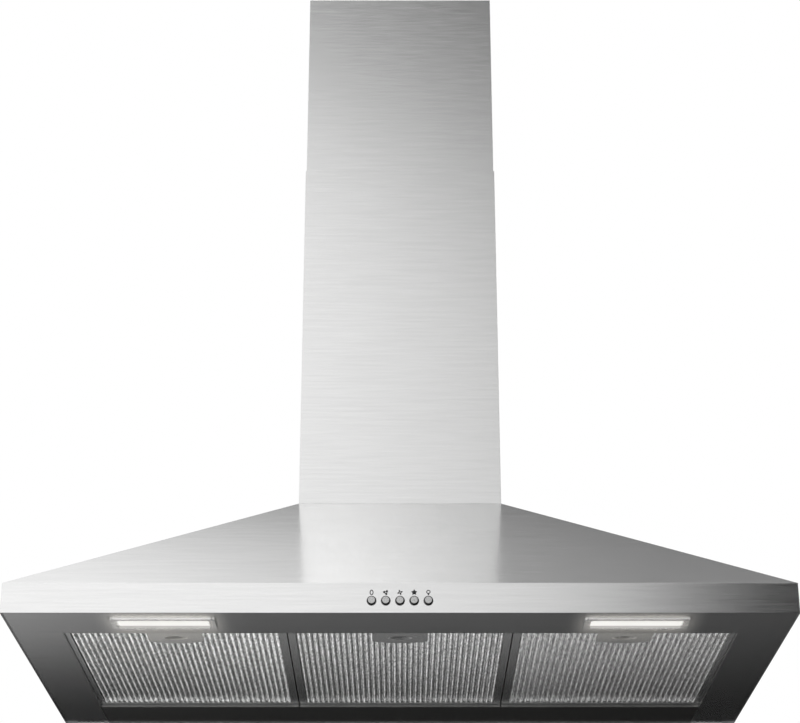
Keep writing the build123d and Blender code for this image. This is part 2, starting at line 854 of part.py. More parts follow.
def box_corners():
    """The junction box's outer limits: x low, x high, y front, y rear, z low, z high."""
    return (box_x - box_width / 2, box_x + box_width / 2, -sheet - box_depth, -sheet,
            box_base_height, box_base_height + box_height)


def box_screw_points():
    x_low, x_high, y_front, y_rear, z_low, z_high = box_corners()
    return [(x_low + box_screw_inset, z_low + box_screw_inset),
            (x_high - box_screw_inset, z_high - box_screw_inset)]


def junction_box():
    x_low, x_high, y_front, y_rear, z_low, z_high = box_corners()
    case = block(x_low, x_high, y_front, y_rear, z_low, z_high)
    case -= block(x_low + box_wall, x_high - box_wall, y_front - past, y_rear - box_wall,
                  z_low + box_wall, z_high - box_wall)
    for x, z in box_screw_points():
        case += rod(box_post_radius, (x, y_front, z), (x, y_rear, z))
    for x, z in box_screw_points():
        case -= rod(boss_screw_radius + seat_gap, (x, y_front - past, z), (x, y_rear - box_wall, z))
    return case


def junction_box_lid():
    x_low, x_high, y_front, y_rear, z_low, z_high = box_corners()
    lid = block(x_low, x_high, y_front - box_lid, y_front, z_low, z_high)
    lid = fillet(lid.edges().filter_by(Axis.Y), box_lid)
    for x, z in box_screw_points():
        lid -= rod(boss_screw_radius + seat_gap, (x, y_front - box_lid - past, z), (x, y_front + past, z))
    return lid


def junction_box_screws():
    x_low, x_high, y_front, y_rear, z_low, z_high = box_corners()
    screws = []
    for x, z in box_screw_points():
        screws.append(screw((x, y_front - box_lid, z), (0, 1, 0), screw_head_radius, screw_head_height,
                            boss_screw_radius, box_depth / 2))
    return Compound(screws)


def cord_gland():
    """The bushing in the deck where the supply cord leaves, up inside the chimney."""
    def at(z):
        return (gland_x, gland_y, z)

    bottom = deck_bottom - gland_flange
    top = deck_top + gland_height
    gland = rod(gland_radius, at(bottom), at(top))
    gland += rod(gland_flange_radius, at(deck_top), at(deck_top + gland_flange))
    gland += rod(gland_flange_radius, at(bottom), at(deck_bottom))
    gland -= rod(gland_bore, at(bottom - past), at(top + past))
    return gland


def capacitor():
    """A round can that stands against the rear panel, held by the strap moulded round it."""
    y = -sheet - capacitor_radius - housing_wall
    z_low = capacitor_base_height
    z_high = z_low + capacitor_length
    middle = (z_low + z_high) / 2
    can = rod(capacitor_radius, (capacitor_x, y, z_low), (capacitor_x, y, z_high))
    can = fillet(can.edges().filter_by(GeomType.CIRCLE), capacitor_edge)
    strap_low = middle - strap_height / 2
    strap_high = middle + strap_height / 2
    can += rod(capacitor_radius + strap_thick, (capacitor_x, y, strap_low), (capacitor_x, y, strap_high))
    can += block(capacitor_x - strap_width / 2, capacitor_x + strap_width / 2, y, -sheet,
                 strap_low, strap_high)
    return can


def lead(points, radius):
    """A round lead along straight runs joined by arcs as wide as the runs allow."""
    spots = [Vector(*point) for point in points]
    radii = []
    for before, here, after in zip(spots, spots[1:], spots[2:]):
        turn = math.radians((here - before).get_angle(after - here))
        shorter = min((here - before).length, (after - here).length)
        radii.append(0.45 * shorter / math.tan(turn / 2))
    path = FilletPolyline(*spots, radius=radii)
    start = Plane(origin=spots[0], z_dir=spots[1] - spots[0])
    tube = sweep(start * Circle(radius), path=path)
    smallest = min(radii)
    drawn = math.pi * radius ** 2 * path.length
    print(f"lead radii from {smallest:.1f} mm, volume {tube.volume:.0f} of {drawn:.0f}")
    return tube


# ---------------------------------------------------------------- buttons and switch

def button(index):
    """A domed metal cap through the rim, a collar that stops it behind the rim, and a stem."""
    x = button_x(index)

    def at(y):
        return (x, y, button_height)

    cap_front = -hood_depth - button_proud
    cap = rod(button_radius, at(cap_front), at(collar_rear))
    front_edge = cap.edges().filter_by(GeomType.CIRCLE).sort_by(Axis.Y)[0]
    cap = fillet(front_edge, button_dome)
    cap += rod(button_collar_radius, at(collar_front), at(collar_rear))
    cap += rod(button_stem_radius, at(collar_front), at(collar_front + button_stem_length))
    return cap


def switch_box():
    """The push-button switch behind the rim, with a well for each stem and a plug at the back."""
    half = switch_length / 2
    case = block(-half, half, switch_front, switch_rear, switch_bottom, switch_bottom + switch_height)
    for index in range(len(button_names)):
        x = button_x(index)
        case -= rod(button_stem_radius + touch_gap, (x, switch_front - past, button_height),
                    (x, switch_bore_end, button_height))
    plug = switch_plug_size / 2
    neck = switch_neck_size / 2
    plug_rear = switch_rear + switch_plug_size
    case += block(switch_plug_x - plug, switch_plug_x + plug, switch_rear + bracket_sheet, plug_rear,
                  button_height - plug, button_height + plug)
    case += block(switch_plug_x - neck, switch_plug_x + neck, switch_rear - past, plug_rear,
                  button_height - neck, button_height + neck)
    return case


def switch_bracket():
    """A bent strap that holds the switch to the rim: two feet, two arms and a back."""
    half = switch_length / 2
    z_low = switch_bottom
    z_high = switch_bottom + switch_height
    strap = block(-half - bracket_sheet, half + bracket_sheet, switch_rear, switch_rear + bracket_sheet,
                  z_low, z_high)
    for side in (-1, 1):
        strap += side_block(side, half, half + bracket_sheet, rim_inner, switch_rear + bracket_sheet,
                            z_low, z_high)
        strap += side_block(side, half, half + bracket_foot, rim_inner, rim_inner + bracket_sheet,
                            z_low, z_high)
    neck = switch_neck_size / 2 + seat_gap
    strap -= block(switch_plug_x - neck, switch_plug_x + neck, switch_rear - past,
                   switch_rear + bracket_sheet + past, button_height - neck, button_height + neck)
    return strap


# ---------------------------------------------------------------- lamps

def lamp_bezel(centre):
    """A flange under the panel and a skirt up through it."""
    outer_length = lens_length + 2 * skirt_wall
    outer_width = lens_width + 2 * skirt_wall
    bezel = rounded_slab(bezel_length, bezel_width, bezel_corner, (centre, lamp_y), 0, panel_bottom)
    bezel = chamfer(bezel.faces().sort_by(Axis.Z)[0].edges(), bezel_chamfer)
    bezel += rounded_slab(outer_length, outer_width, lens_corner + skirt_wall, (centre, lamp_y),
                          panel_bottom / 2, skirt_top)
    bezel -= rounded_slab(lens_length, lens_width, lens_corner, (centre, lamp_y), -past, skirt_top + past)
    return bezel


def lamp_lens(centre):
    play = 2 * seat_gap
    return rounded_slab(lens_length - play, lens_width - play, lens_corner - seat_gap, (centre, lamp_y),
                        lens_recess, lens_recess + lens_thick)


def lamp_board(centre):
    """A strip board under the cover, with its row of light-emitting chips facing down."""
    half_length = lens_length / 2 - lamp_board_margin
    half_across = lens_width / 2 - lamp_board_margin
    z_low = skirt_top - lamp_board_thick
    board = block(centre - half_length, centre + half_length, lamp_y - half_across,
                  lamp_y + half_across, z_low, skirt_top)
    step = 2 * half_length / lamp_led_count
    for index in range(lamp_led_count):
        x = centre - half_length + step * (index + 0.5)
        board += block(x - lamp_led_size / 2, x + lamp_led_size / 2, lamp_y - lamp_led_size / 2,
                       lamp_y + lamp_led_size / 2, z_low - lamp_led_height, z_low)
    return board


def lamp_cover(centre):
    """The lid on the skirt, with a clip leg at each end that grips the panel, and the lead's socket."""
    outer_length = lens_length + 2 * skirt_wall
    outer_width = lens_width + 2 * skirt_wall
    cover = rounded_slab(outer_length, outer_width, lens_corner + skirt_wall, (centre, lamp_y),
                         skirt_top, skirt_top + lamp_cover_thick)
    for side in (-1, 1):
        root = centre + side * (outer_length / 2 - lamp_clip_thick)
        far = centre + side * (outer_length / 2 + touch_gap + 2 * lamp_clip_thick)
        leg = centre + side * (outer_length / 2 + touch_gap + lamp_clip_thick)
        y_low = lamp_y - lamp_clip_width / 2
        y_high = lamp_y + lamp_clip_width / 2
        cover += block(min(root, far), max(root, far), y_low, y_high, skirt_top,
                       skirt_top + lamp_clip_thick)
        cover += block(min(leg, far), max(leg, far), y_low, y_high, panel_top,
                       skirt_top + lamp_clip_thick)
    cover += rod(lamp_plug_radius, (centre, lamp_y, skirt_top + lamp_cover_thick),
                 (centre, lamp_y, skirt_top + lamp_cover_thick + lamp_plug_height))
    return cover


# ---------------------------------------------------------------- grease filters

def handle_outline(centre, half, grow, z_low, z_high):
    """The half-moon plate at a filter's front edge: straight sides, then one arc across."""
    front = mesh_front - frame_front_bar
    side_end = mesh_front + handle_straight
    arc = ThreePointArc((centre + half + grow, side_end + grow), (centre, side_end + handle_bulge + grow),
                        (centre - half - grow, side_end + grow))
    edges = [Line((centre - half - grow, front), (centre + half + grow, front)),
             Line((centre + half + grow, front), (centre + half + grow, side_end + grow)), arc,
             Line((centre - half - grow, side_end + grow), (centre - half - grow, front))]
    face = Face(Wire([edge for curve in edges for edge in curve.edges()]))
    return extrude(face.moved(Location((0, 0, z_low))), amount=z_high - z_low, dir=(0, 0, 1))


def filter_frame(centre):
    """A channel bent round the pack's four sides, with two lugs behind and a slot for the latch. The outer
    frames are narrower on the side towards the panel's edge."""
    left = centre - (filter_outer_half if centre < 0 else filter_half)
    right = centre + (filter_outer_half if centre > 0 else filter_half)
    frame = block(left, right, filter_front, filter_rear, filter_bottom, filter_top)
    frame -= block(left + frame_wall, right - frame_wall, filter_front + frame_wall,
                   filter_rear - frame_wall, filter_bottom + frame_wall, filter_top - frame_wall)
    frame -= block(centre - window_width / 2, centre + window_width / 2, mesh_front, mesh_rear,
                   filter_bottom - past, filter_top + past)
    for side in (-1, 1):
        x = centre + side * lug_spacing / 2
        frame += block(x - lug_width / 2, x + lug_width / 2, filter_rear - frame_wall,
                       filter_rear + lug_length, filter_bottom, filter_bottom + lug_thick)
    slot_low = filter_bottom + latch_floor - latch_play
    slot_high = filter_bottom + latch_floor + latch_thick + latch_play
    slot_half = latch_nose_width / 2 + latch_play
    frame -= block(centre - slot_half, centre + slot_half, filter_front - past,
                   filter_front + frame_wall + past, slot_low, slot_high)
    return frame


def filter_mesh(centre):
    """The pleated pack of expanded aluminium, as one folded sheet, cut round the handle."""
    half = filter_outer_half - frame_wall - seat_gap
    low = filter_bottom + frame_wall + seat_gap
    high = filter_top - frame_wall - seat_gap
    folds = 2 * int(half / pleat_pitch)
    lower = []
    upper = []
    for index in range(-folds, folds + 1):
        x = centre + index * pleat_pitch / 2
        crest = index % 2 == 0
        z = low if crest else high - pleat_sheet
        lower.append((x, z))
        upper.append((x, z + pleat_sheet))
    face = outline_face([(x, filter_front + frame_wall + seat_gap, z) for x, z in lower + upper[::-1]])
    pack = extrude(face, amount=filter_rear - filter_front - 2 * (frame_wall + seat_gap), dir=(0, 1, 0))
    return pack - handle_outline(centre, handle_width / 2, touch_gap, filter_bottom - past,
                                 filter_top + past)


def filter_handle(centre):
    """The half-moon handle: a plate flush with the frame, and a body with the latch's channel and a
    lens-shaped well for a fingertip."""
    half = handle_body_width / 2
    plate = handle_outline(centre, handle_width / 2, 0, filter_bottom, filter_bottom + frame_wall)
    plate -= block(centre - handle_width, centre + handle_width, filter_front - past, mesh_front,
                   filter_bottom - past, filter_top)
    body_rear = mesh_front + handle_body_length
    plate += block(centre - half, centre + half, filter_front + frame_wall + seat_gap, body_rear,
                   filter_bottom + frame_wall, filter_top - frame_wall - seat_gap)
    channel_low = filter_bottom + latch_floor - latch_play
    channel_high = filter_bottom + latch_floor + latch_thick + latch_play
    channel_half = latch_width / 2 + latch_play
    plate -= block(centre - channel_half, centre + channel_half, filter_front,
                   latch_rear() + latch_travel + latch_play, channel_low, channel_high)
    return plate - finger_well(centre)


def finger_well(centre):
    """The lens shape where two equal arcs cross, cut up into the handle."""
    chord = recess_width / 2
    rise = recess_length / 2
    radius = (chord ** 2 + rise ** 2) / (2 * rise)
    y = mesh_front + recess_centre
    z_low = filter_bottom - past
    z_high = filter_bottom + recess_depth
    first = rod(radius, (centre, y + radius - rise, z_low), (centre, y + radius - rise, z_high))
    second = rod(radius, (centre, y - radius + rise, z_low), (centre, y - radius + rise, z_high))
    return first & second


def latch_front():
    return filter_front + frame_wall + seat_gap + touch_gap


def latch_rear():
    return latch_front() + latch_length


def filter_latch(centre):
    """The sprung slide: a plate, a nose out through the frame, and a finger tab in the well."""
    z_low = filter_bottom + latch_floor
    z_high = z_low + latch_thick
    slide = block(centre - latch_width / 2, centre + latch_width / 2, latch_front(), latch_rear(),
                  z_low, z_high)
    slide += block(centre - latch_nose_width / 2, centre + latch_nose_width / 2,
                   filter_front - latch_nose_reach, latch_front(), z_low, z_high)
    tab_y = mesh_front + latch_tab_inset
    slide += block(centre - latch_tab_width / 2, centre + latch_tab_width / 2, tab_y,
                   tab_y + latch_tab_thick, z_low - latch_tab_drop, z_low)
    return slide


# ---------------------------------------------------------------- leads inside the canopy

def switch_lead():
    """From the switch's plug, back and up inside the pyramid, round the blower to the box."""
    start_x = switch_plug_x
    start_y = switch_rear + switch_plug_size
    end_x = box_x + switch_lead_entry[0]
    end_y = -sheet - box_depth + switch_lead_entry[1]
    points = [(start_x, start_y, button_height), (start_x, start_y + 21, button_height), (42, -428, 26),
              (58, -404, 42), (84, -376, 54), (116, -342, 58), (140, -300, 54), (152, -252, 46),
              (160, -204, 40), (174, -158, 36), (196, -118, 34), (214, -84, 33), (end_x, -50, 34),
              (end_x, end_y, box_base_height - lead_drop), (end_x, end_y, box_base_height)]
    return lead(points, switch_lead_radius)


def motor_lead():
    """From the box's near side across to the motor's end of the blower, along the rear panel."""
    start_x = box_x - box_width / 2
    start_z = box_base_height + motor_lead_entry[0]
    start_y = -sheet - box_depth + motor_lead_entry[1]
    end_x = -housing_half_width - rubber_thick - cradle_sheet
    end_y = wheel_y + motor_lead_exit[0]
    end_z = wheel_z + motor_lead_exit[1]
    points = [(start_x, start_y, start_z), (start_x - 22, start_y, start_z), (104, -16, 70),
              (72, -18, 58), (36, -19, 50), (0, -19, 48), (-36, -19, 50), (-72, -20, 58),
              (-104, -28, 72), (-124, -48, 92), (-132, -74, 110), (-130, -98, 122),
              (end_x - 22, end_y, end_z), (end_x, end_y, end_z)]
    return lead(points, lead_radius)


def lamp_leads():
    """From each lamp's socket back along the side of the filters to the box."""
    top = skirt_top + lamp_cover_thick + lamp_plug_height
    end_y = -sheet - box_depth + lamp_lead_entry_right[1]
    right_end = box_x + lamp_lead_entry_right[0]
    left_end = box_x + lamp_lead_entry_left[0]
    right = [(lamp_x, lamp_y, top), (lamp_x, lamp_y, top + 17), (274, lamp_y + 16, 52),
             (282, lamp_y + 44, 56), (292, -384, 50), (298, -340, 42), (298, -290, 36), (290, -236, 34),
             (276, -184, 34), (260, -136, 34), (246, -94, 33), (238, -60, 33),
             (right_end, end_y, box_base_height - lead_drop), (right_end, end_y, box_base_height)]
    left = [(-lamp_x, lamp_y, top), (-lamp_x, lamp_y, top + 17), (-272, lamp_y + 16, 52),
            (-277, lamp_y + 44, 56), (-284, -384, 50), (-288, -340, 42), (-286, -290, 36),
            (-278, -236, 33), (-262, -184, 31), (-238, -138, 30), (-208, -100, 30), (-170, -72, 30),
            (-126, -54, 30), (-76, -42, 30), (-24, -36, 30), (28, -34, 30), (80, -34, 30),
            (124, -36, 31), (148, -34, 33), (left_end, end_y, box_base_height - lead_drop),
            (left_end, end_y, box_base_height)]
    return Compound([lead(right, lead_radius), lead(left, lead_radius)])


# ---------------------------------------------------------------- files

os.makedirs("parts", exist_ok=True)

write("canopy_shell", canopy_shell())
write("rear_panel", rear_panel())
write("base_panel", base_panel())
write("rear_strip", rear_strip())
write("deck_plate", deck_plate())
write("lower_chimney", lower_chimney())
write("upper_chimney", upper_chimney())
write("chimney_bracket", chimney_bracket())
write("chimney_bracket_screws", chimney_bracket_screws())
write("chimney_base_screws", chimney_base_screws())

write("blower_housing_left", housing_half(-1))
write("blower_housing_right", housing_half(1))
write("blower_housing_screws", blower_housing_screws())
write("blower_fixing_screws", blower_fixing_screws())
write("impeller", impeller())
write("motor", motor())
write("motor_shaft", motor_shaft())
write("motor_cradle", motor_cradle())
write("motor_mounts", motor_mounts())
write("cradle_screws", cradle_screws())
write("inlet_guard", inlet_guard())
write("outlet_transition", outlet_transition())
write("damper_flap_front", damper_flap(-1))
write("damper_flap_rear", damper_flap(1))
write("damper_pin", damper_pin())

write("junction_box", junction_box())
write("junction_box_lid", junction_box_lid())
write("junction_box_screws", junction_box_screws())
write("cord_gland", cord_gland())
write("capacitor", capacitor())
write("switch_box", switch_box())
write("switch_bracket", switch_bracket())
for index, name in enumerate(button_names):
    write(name, button(index))
write("switch_lead", switch_lead())
write("motor_lead", motor_lead())
write("lamp_leads", lamp_leads())

for place, centre in lamp_centres.items():
    write("lamp_bezel_" + place, lamp_bezel(centre))
    write("lamp_lens_" + place, lamp_lens(centre))
    write("lamp_board_" + place, lamp_board(centre))
    write("lamp_cover_" + place, lamp_cover(centre))

for place, centre in filter_centres.items():
    write("filter_frame_" + place, filter_frame(centre))
    write("filter_mesh_" + place, filter_mesh(centre))
    write("filter_handle_" + place, filter_handle(centre))
    write("filter_latch_" + place, filter_latch(centre))
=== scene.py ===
"""Looks of the chimney range hood: brushed steel sheet, pleated filters of expanded aluminium, two lamps
and five push buttons, in a plain pale studio."""
import json
import math

import bpy
import numpy as np
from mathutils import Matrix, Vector


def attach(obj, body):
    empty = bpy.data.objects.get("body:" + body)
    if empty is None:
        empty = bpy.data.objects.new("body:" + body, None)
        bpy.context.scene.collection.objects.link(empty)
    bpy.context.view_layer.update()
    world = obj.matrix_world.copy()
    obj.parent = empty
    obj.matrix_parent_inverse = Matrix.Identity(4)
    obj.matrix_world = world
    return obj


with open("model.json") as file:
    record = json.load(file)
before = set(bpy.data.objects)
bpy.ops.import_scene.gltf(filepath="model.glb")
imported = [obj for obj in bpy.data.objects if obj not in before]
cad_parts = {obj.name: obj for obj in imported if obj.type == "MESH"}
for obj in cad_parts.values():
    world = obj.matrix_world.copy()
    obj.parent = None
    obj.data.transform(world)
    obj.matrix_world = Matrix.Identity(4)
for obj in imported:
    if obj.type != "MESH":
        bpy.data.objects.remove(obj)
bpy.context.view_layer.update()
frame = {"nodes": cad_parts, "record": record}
hood_nodes = frame["nodes"]

# ---- places on the hood, in metres, in the part's frame ----
rim_bottom = -0.125
rim_front = -0.510
button_spacing = 0.016
button_height = rim_bottom + 0.0142
symbol_height = rim_bottom + 0.0239
filter_places = {"left": -0.2637, "centre": 0.0, "right": 0.2637}

# ---- the lamps, in metres, with the lens's and the bezel's sizes from the lamp's middle ----
lamp_places = {"left": -0.270, "right": 0.270}
lamp_centre_y = -0.4634
lens_half_wide = 0.0530
lens_half_deep = 0.0153
bezel_edge = 0.0206

# ---- the camera, in metres, degrees and millimetres, and the studio's floor ----
eye_place = (0.0, -2.7493, -0.8074)
eye_tilt = 23.864
eye_lens = 93.253
floor_height = -1.6

# ---- the filters' outer layer, in metres ----
window_half = 0.1222
mesh_front = -0.4165
mesh_rear = -0.0865
window_rear = -0.0901
handle_half = 0.0331
handle_edge = -0.3752
handle_bulge = 0.0076
pleat_pitch = 0.00665
pleat_low = rim_bottom + 0.0073
pleat_rise = 0.0062
crimp_length = 0.010
crimp_share = 0.65

# ---- its strands and beads, in metres: bonds in shares of a column, cells along the hood's depth ----
columns_on_flank = 2
cell_length = 0.0034
bond_inset = 0.10
bond_wander = 0.05
strand_size = 0.00066
strand_lift = 0.2
strand_jitter = 0.00012
beads_each_side = 18
bead_half = 0.00074
bead_drop = 0.00030
bead_shoulder = 0.00055
bead_height = 0.0011
bead_jitter = 0.00009

# ---- painted light and shade across a pleat, valley to valley with the low fold at 0.5, in each filter ----
painted_pleat_level = 0.8
painted_pleat_grey = {
    "left": [(0, 0.72), (0.08, 0.98), (0.29, 0.90), (0.50, 0.68), (0.54, 0.87), (0.57, 0.90), (0.61, 0.83),
             (0.68, 0.72), (0.76, 0.58), (0.80, 0.63), (0.87, 0.80), (1, 0.72)],
    "centre": [(0, 0.48), (0.06, 0.66), (0.12, 0.77), (0.19, 0.67), (0.25, 0.49), (0.37, 0.49), (0.56, 0.86),
               (0.63, 0.90), (0.69, 0.82), (0.82, 0.46), (0.88, 0.38), (0.94, 0.37), (1, 0.48)],
    "right": [(0, 1.00), (0.02, 1.07), (0.09, 0.75), (0.13, 0.55), (0.20, 0.42), (0.28, 0.61), (0.32, 0.60),
              (0.39, 0.41), (0.43, 0.42), (0.46, 0.48), (0.50, 0.66), (1, 1.00)]}


# ---- node graphs ----
class Graph:
    """A material's or the world's nodes, added one at a time, each with its inputs given by name."""

    def __init__(self, owner):
        owner.use_nodes = True
        self.tree = owner.node_tree
        self.tree.nodes.clear()

    def give(self, socket, value):
        """Links the socket to another node's output, or sets the value on the socket itself."""
        if isinstance(value, bpy.types.NodeSocket):
            self.tree.links.new(value, socket)
        else:
            socket.default_value = value

    def add(self, kind, inputs=None, **settings):
        """A node of this kind, with its settings and its inputs."""
        made = self.tree.nodes.new("ShaderNode" + kind)
        for key, value in settings.items():
            setattr(made, key, value)
        for key, value in (inputs or {}).items():
            self.give(made.inputs[key], value)
        return made

    def number(self, operation, first, second=0.0, third=0.0, clamp=False):
        """One calculation on numbers, its result kept between 0 and 1 where clamp is set."""
        made = self.add("Math", {0: first, 1: second, 2: third}, operation=operation, use_clamp=clamp)
        return made.outputs[0]

    def length(self, first, second):
        """The long side of the right-angled triangle with these two short sides."""
        squares = self.number("ADD", self.number("MULTIPLY", first, first),
                              self.number("MULTIPLY", second, second))
        return self.number("SQRT", squares)

    def rise(self, value, start, end, first=0.0, last=1.0, smooth=False):
        """Goes from first to last as the value goes from start to end, and stays level beyond them."""
        inputs = {"Value": value, "From Min": start, "From Max": end, "To Min": first, "To Max": last}
        made = self.add("MapRange", inputs, interpolation_type="SMOOTHSTEP" if smooth else "LINEAR")
        return made.outputs[0]

    def steps(self, factor, stops):
        """A ramp of greys: the value at each stop, straight lines between."""
        made = self.add("ValToRGB", {"Fac": factor})
        ramp = made.color_ramp
        while len(ramp.elements) < len(stops):
            ramp.elements.new(0.5)
        for element, (place, value) in zip(ramp.elements, stops):
            element.position = place
        for element, (place, value) in zip(ramp.elements, stops):
            element.color = (value, value, value, 1)
        return made.outputs["Color"]

    def between(self, factor, first, second):
        """The colour that lies the factor's share of the way from the first to the second."""
        made = self.add("Mix", {"Factor": factor}, data_type="RGBA")
        for socket, value in ((made.inputs[6], first), (made.inputs[7], second)):
            linked = isinstance(value, bpy.types.NodeSocket)
            self.give(socket, value if linked else tuple(value) + (1,))
        return made.outputs[2]

    def times(self, first, second):
        """One colour times another, channel by channel."""
        return self.add("VectorMath", {0: first, 1: second}, operation="MULTIPLY").outputs[0]

    def scaled(self, colour, share):
        """A colour times one number."""
        return self.add("VectorMath", {0: colour, "Scale": share}, operation="SCALE").outputs[0]

    def place(self):
        """Where the shaded point lies, in metres in the part's frame."""
        return self.add("TexCoord").outputs["Object"]

    def axes(self):
        """The place's x, y and z, by the names X, Y and Z."""
        return self.add("SeparateXYZ", {0: self.place()}).outputs

    def stretched_noise(self, place, scale, detail=3.0, roughness=0.6, offset=(0, 0, 0)):
        """Noise whose cells are 1/scale metres along each axis."""
        mapped = self.add("Mapping", {"Vector": place, "Scale": scale, "Location": offset})
        made = self.add("TexNoise", {"Vector": mapped.outputs[0], "Scale": 1.0, "Detail": detail,
                                     "Roughness": roughness})
        return made.outputs["Fac"]

    def see_through(self, share, shader):
        """The shader where the share is 0, and nothing at all where it is 1."""
        clear = self.add("BsdfTransparent").outputs[0]
        return self.add("MixShader", {0: share, 1: shader.outputs[0], 2: clear})

    def finish(self, shader, output="OutputMaterial"):
        """Sends the shader to the output."""
        self.add(output, {"Surface": shader.outputs[0]})


def finish_named(name):
    """A new material and its empty graph."""
    made = bpy.data.materials.new(name)
    return made, Graph(made)


def shade(graph, **sockets):
    """The finish's shader, each value set on its own socket."""
    return graph.add("BsdfPrincipled", {key.replace("_", " "): value for key, value in sockets.items()})


def shades_of(colour, darker, lighter):
    """The darkest and the lightest tint of a finish, as shares of its colour."""
    return tuple(c * darker for c in colour), tuple(min(1.0, c * lighter) for c in colour)


def rounded_normal(graph, radius, height, strength, distance):
    """The normal with its sharp edges rounded by radius, then raised by height."""
    soft = graph.add("Bevel", {"Radius": radius}, samples=4).outputs[0]
    return graph.add("Bump", {"Strength": strength, "Distance": distance, "Height": height,
                              "Normal": soft}).outputs[0]


# ---- steel sheet ----
def from_lamp(graph):
    """How far a place lies from the middle of the nearer lamp: sideways, always as a positive length, and
    along the hood's depth, positive to the rear."""
    place = graph.axes()
    aside = graph.number("SUBTRACT", graph.number("ABSOLUTE", place["X"]), lamp_places["right"])
    return graph.number("ABSOLUTE", aside), graph.number("SUBTRACT", place["Y"], lamp_centre_y)


def painted_glow_by_lamps(graph):
    """Painted light beside the lamps: how much of the glow lamps' light the steel beside them catches, as a
    smaller metal share where their real light falls, and how much warm tint is painted in; most at the
    bezels, less out to the handles behind, and fading sideways. The left lamp's side is painted a little
    brighter."""
    aside, off = from_lamp(graph)
    wide = graph.rise(aside, 0.046, 0.082, 1.0, 0.0, smooth=True)
    deep = graph.rise(off, 0.070, 0.112, 1.0, 0.0, smooth=True)
    past_side = graph.number("MAXIMUM", graph.number("SUBTRACT", aside, 0.052), 0.0)
    past_front = graph.number("SUBTRACT", graph.number("ABSOLUTE", off), 0.015)
    reach = graph.length(graph.number("MULTIPLY", past_side, 1.5), graph.number("MAXIMUM", past_front, 0.0))
    near = graph.rise(reach, 0.0, 0.022, 1.0, 0.0)
    side = graph.rise(graph.axes()["X"], -0.1, 0.1, 1.0, 0.95)
    both = graph.number("MULTIPLY_ADD", graph.number("MULTIPLY", wide, deep), 0.077,
                        graph.number("MULTIPLY", near, 0.03))
    return graph.number("MULTIPLY", both, side)


def painted_lip_shadow(graph):
    """Painted shade: the steel's tint darkens just in front of each bezel, where the bezel's lip stands over
    it.
    """
    aside, off = from_lamp(graph)
    beside = graph.rise(aside, 0.060, 0.064, 1.0, 0.0)
    ahead = graph.rise(off, -0.0300, -0.0260)
    strip = graph.number("MULTIPLY", ahead, graph.number("LESS_THAN", off, -0.0150))
    return graph.number("MULTIPLY_ADD", graph.number("MULTIPLY", strip, beside), -0.22, 1.0)


def brushed_steel(name, colour, roughness, grain, streak=0.05, radius=0.0007, metal=1.0, relief=0.10,
                  painted_lamp_glow=False, bezel_wall_shade_and_edge_glint=False, front=0.0):
    """Sheet brushed along its width: hairlines and longer streaks stretched along the grain, and a lustre
    that spreads across it. grain is the cells per metre along x, y and z. The lamp switch is for steel beside
    the
    lamps and paints light there: less metal, so that it catches the glow lamps' real light, a painted warm
    tint, and painted shade in front of each bezel. The lens walls switch is for a bezel whose inner walls get
    painted shade and whose front edge a painted highlight. front is the share of metal taken off towards the
    frame's front, painted light that makes the foremost inches catch more diffuse light than the rear."""
    made, graph = finish_named(name)
    place = graph.place()
    hairline = graph.stretched_noise(place, grain, 2.0, 0.7)
    streaks = graph.stretched_noise(place, tuple(0.45 * s for s in grain), 2.0, 0.55, (3.1, 1.7, 0.4))
    cloud = graph.stretched_noise(place, (2.2, 2.2, 2.2), 2.0, 0.5)
    spread = graph.number("MULTIPLY_ADD", streaks, 0.6, graph.number("MULTIPLY", hairline, 0.4))
    tint = graph.between(graph.rise(spread, 0.36, 0.64), *shades_of(colour, 1 - streak, 1 + streak))
    matt = graph.number("ADD", graph.number("MULTIPLY_ADD", hairline, 0.10, roughness - 0.075),
                        graph.number("MULTIPLY", cloud, 0.05))
    normal = rounded_normal(graph, radius, spread, relief, 0.00006)
    facing = graph.add("SeparateXYZ", {0: graph.add("NewGeometry").outputs["True Normal"]}).outputs["Z"]
    flat = graph.number("GREATER_THAN", graph.number("ABSOLUTE", facing), 0.9)
    across = graph.between(flat, (0.0, 0.0, 1.0), (0.0, 1.0, 0.0))
    if bezel_wall_shade_and_edge_glint:
        # Painted shade on the bezel's inner walls round the lens, and a painted highlight along its front
        # edge, where it is brighter and less metal.
        aside, off = from_lamp(graph)
        painted_wall_shade_mask = graph.number("MULTIPLY", graph.number("LESS_THAN", aside, lens_half_wide),
                              graph.number("LESS_THAN", graph.number("ABSOLUTE", off), lens_half_deep))
        edge = graph.number("LESS_THAN", off, -bezel_edge)
        brighter = graph.number("MULTIPLY_ADD", edge, 0.05, 1.0)
        tint = graph.scaled(tint, graph.number("MULTIPLY_ADD", painted_wall_shade_mask, -0.43, brighter))
        metal = graph.number("MULTIPLY_ADD", edge, -0.32, metal)
    if front:
        # Painted light: less metal towards the frame's front, so that it catches more diffuse light there and
        # grows darker towards the rear.
        metal = graph.rise(graph.axes()["Y"], -0.42, -0.16, metal - front, metal)
    # Painted light beside the lamps: less metal so the steel catches the glow lamps' real light, a painted
    # warm tint, and painted shade in front of each bezel.
    if painted_lamp_glow:
        painted_glow_share = painted_glow_by_lamps(graph)
        metal = graph.number("SUBTRACT", metal, painted_glow_share)
        warm = graph.between(graph.number("MULTIPLY", painted_glow_share, 9.0, clamp=True), (1.0, 1.0, 1.0),
                             (1.0, 0.975, 0.92))
        # The tint is warmed as painted lamp light, and darkened in front of each bezel as painted shade.
        tint = graph.scaled(graph.times(tint, warm), painted_lip_shadow(graph))
    graph.finish(shade(graph, Base_Color=tint, Metallic=metal, Roughness=matt, Anisotropic=0.6, Normal=normal,
                       Tangent=across))
    return made


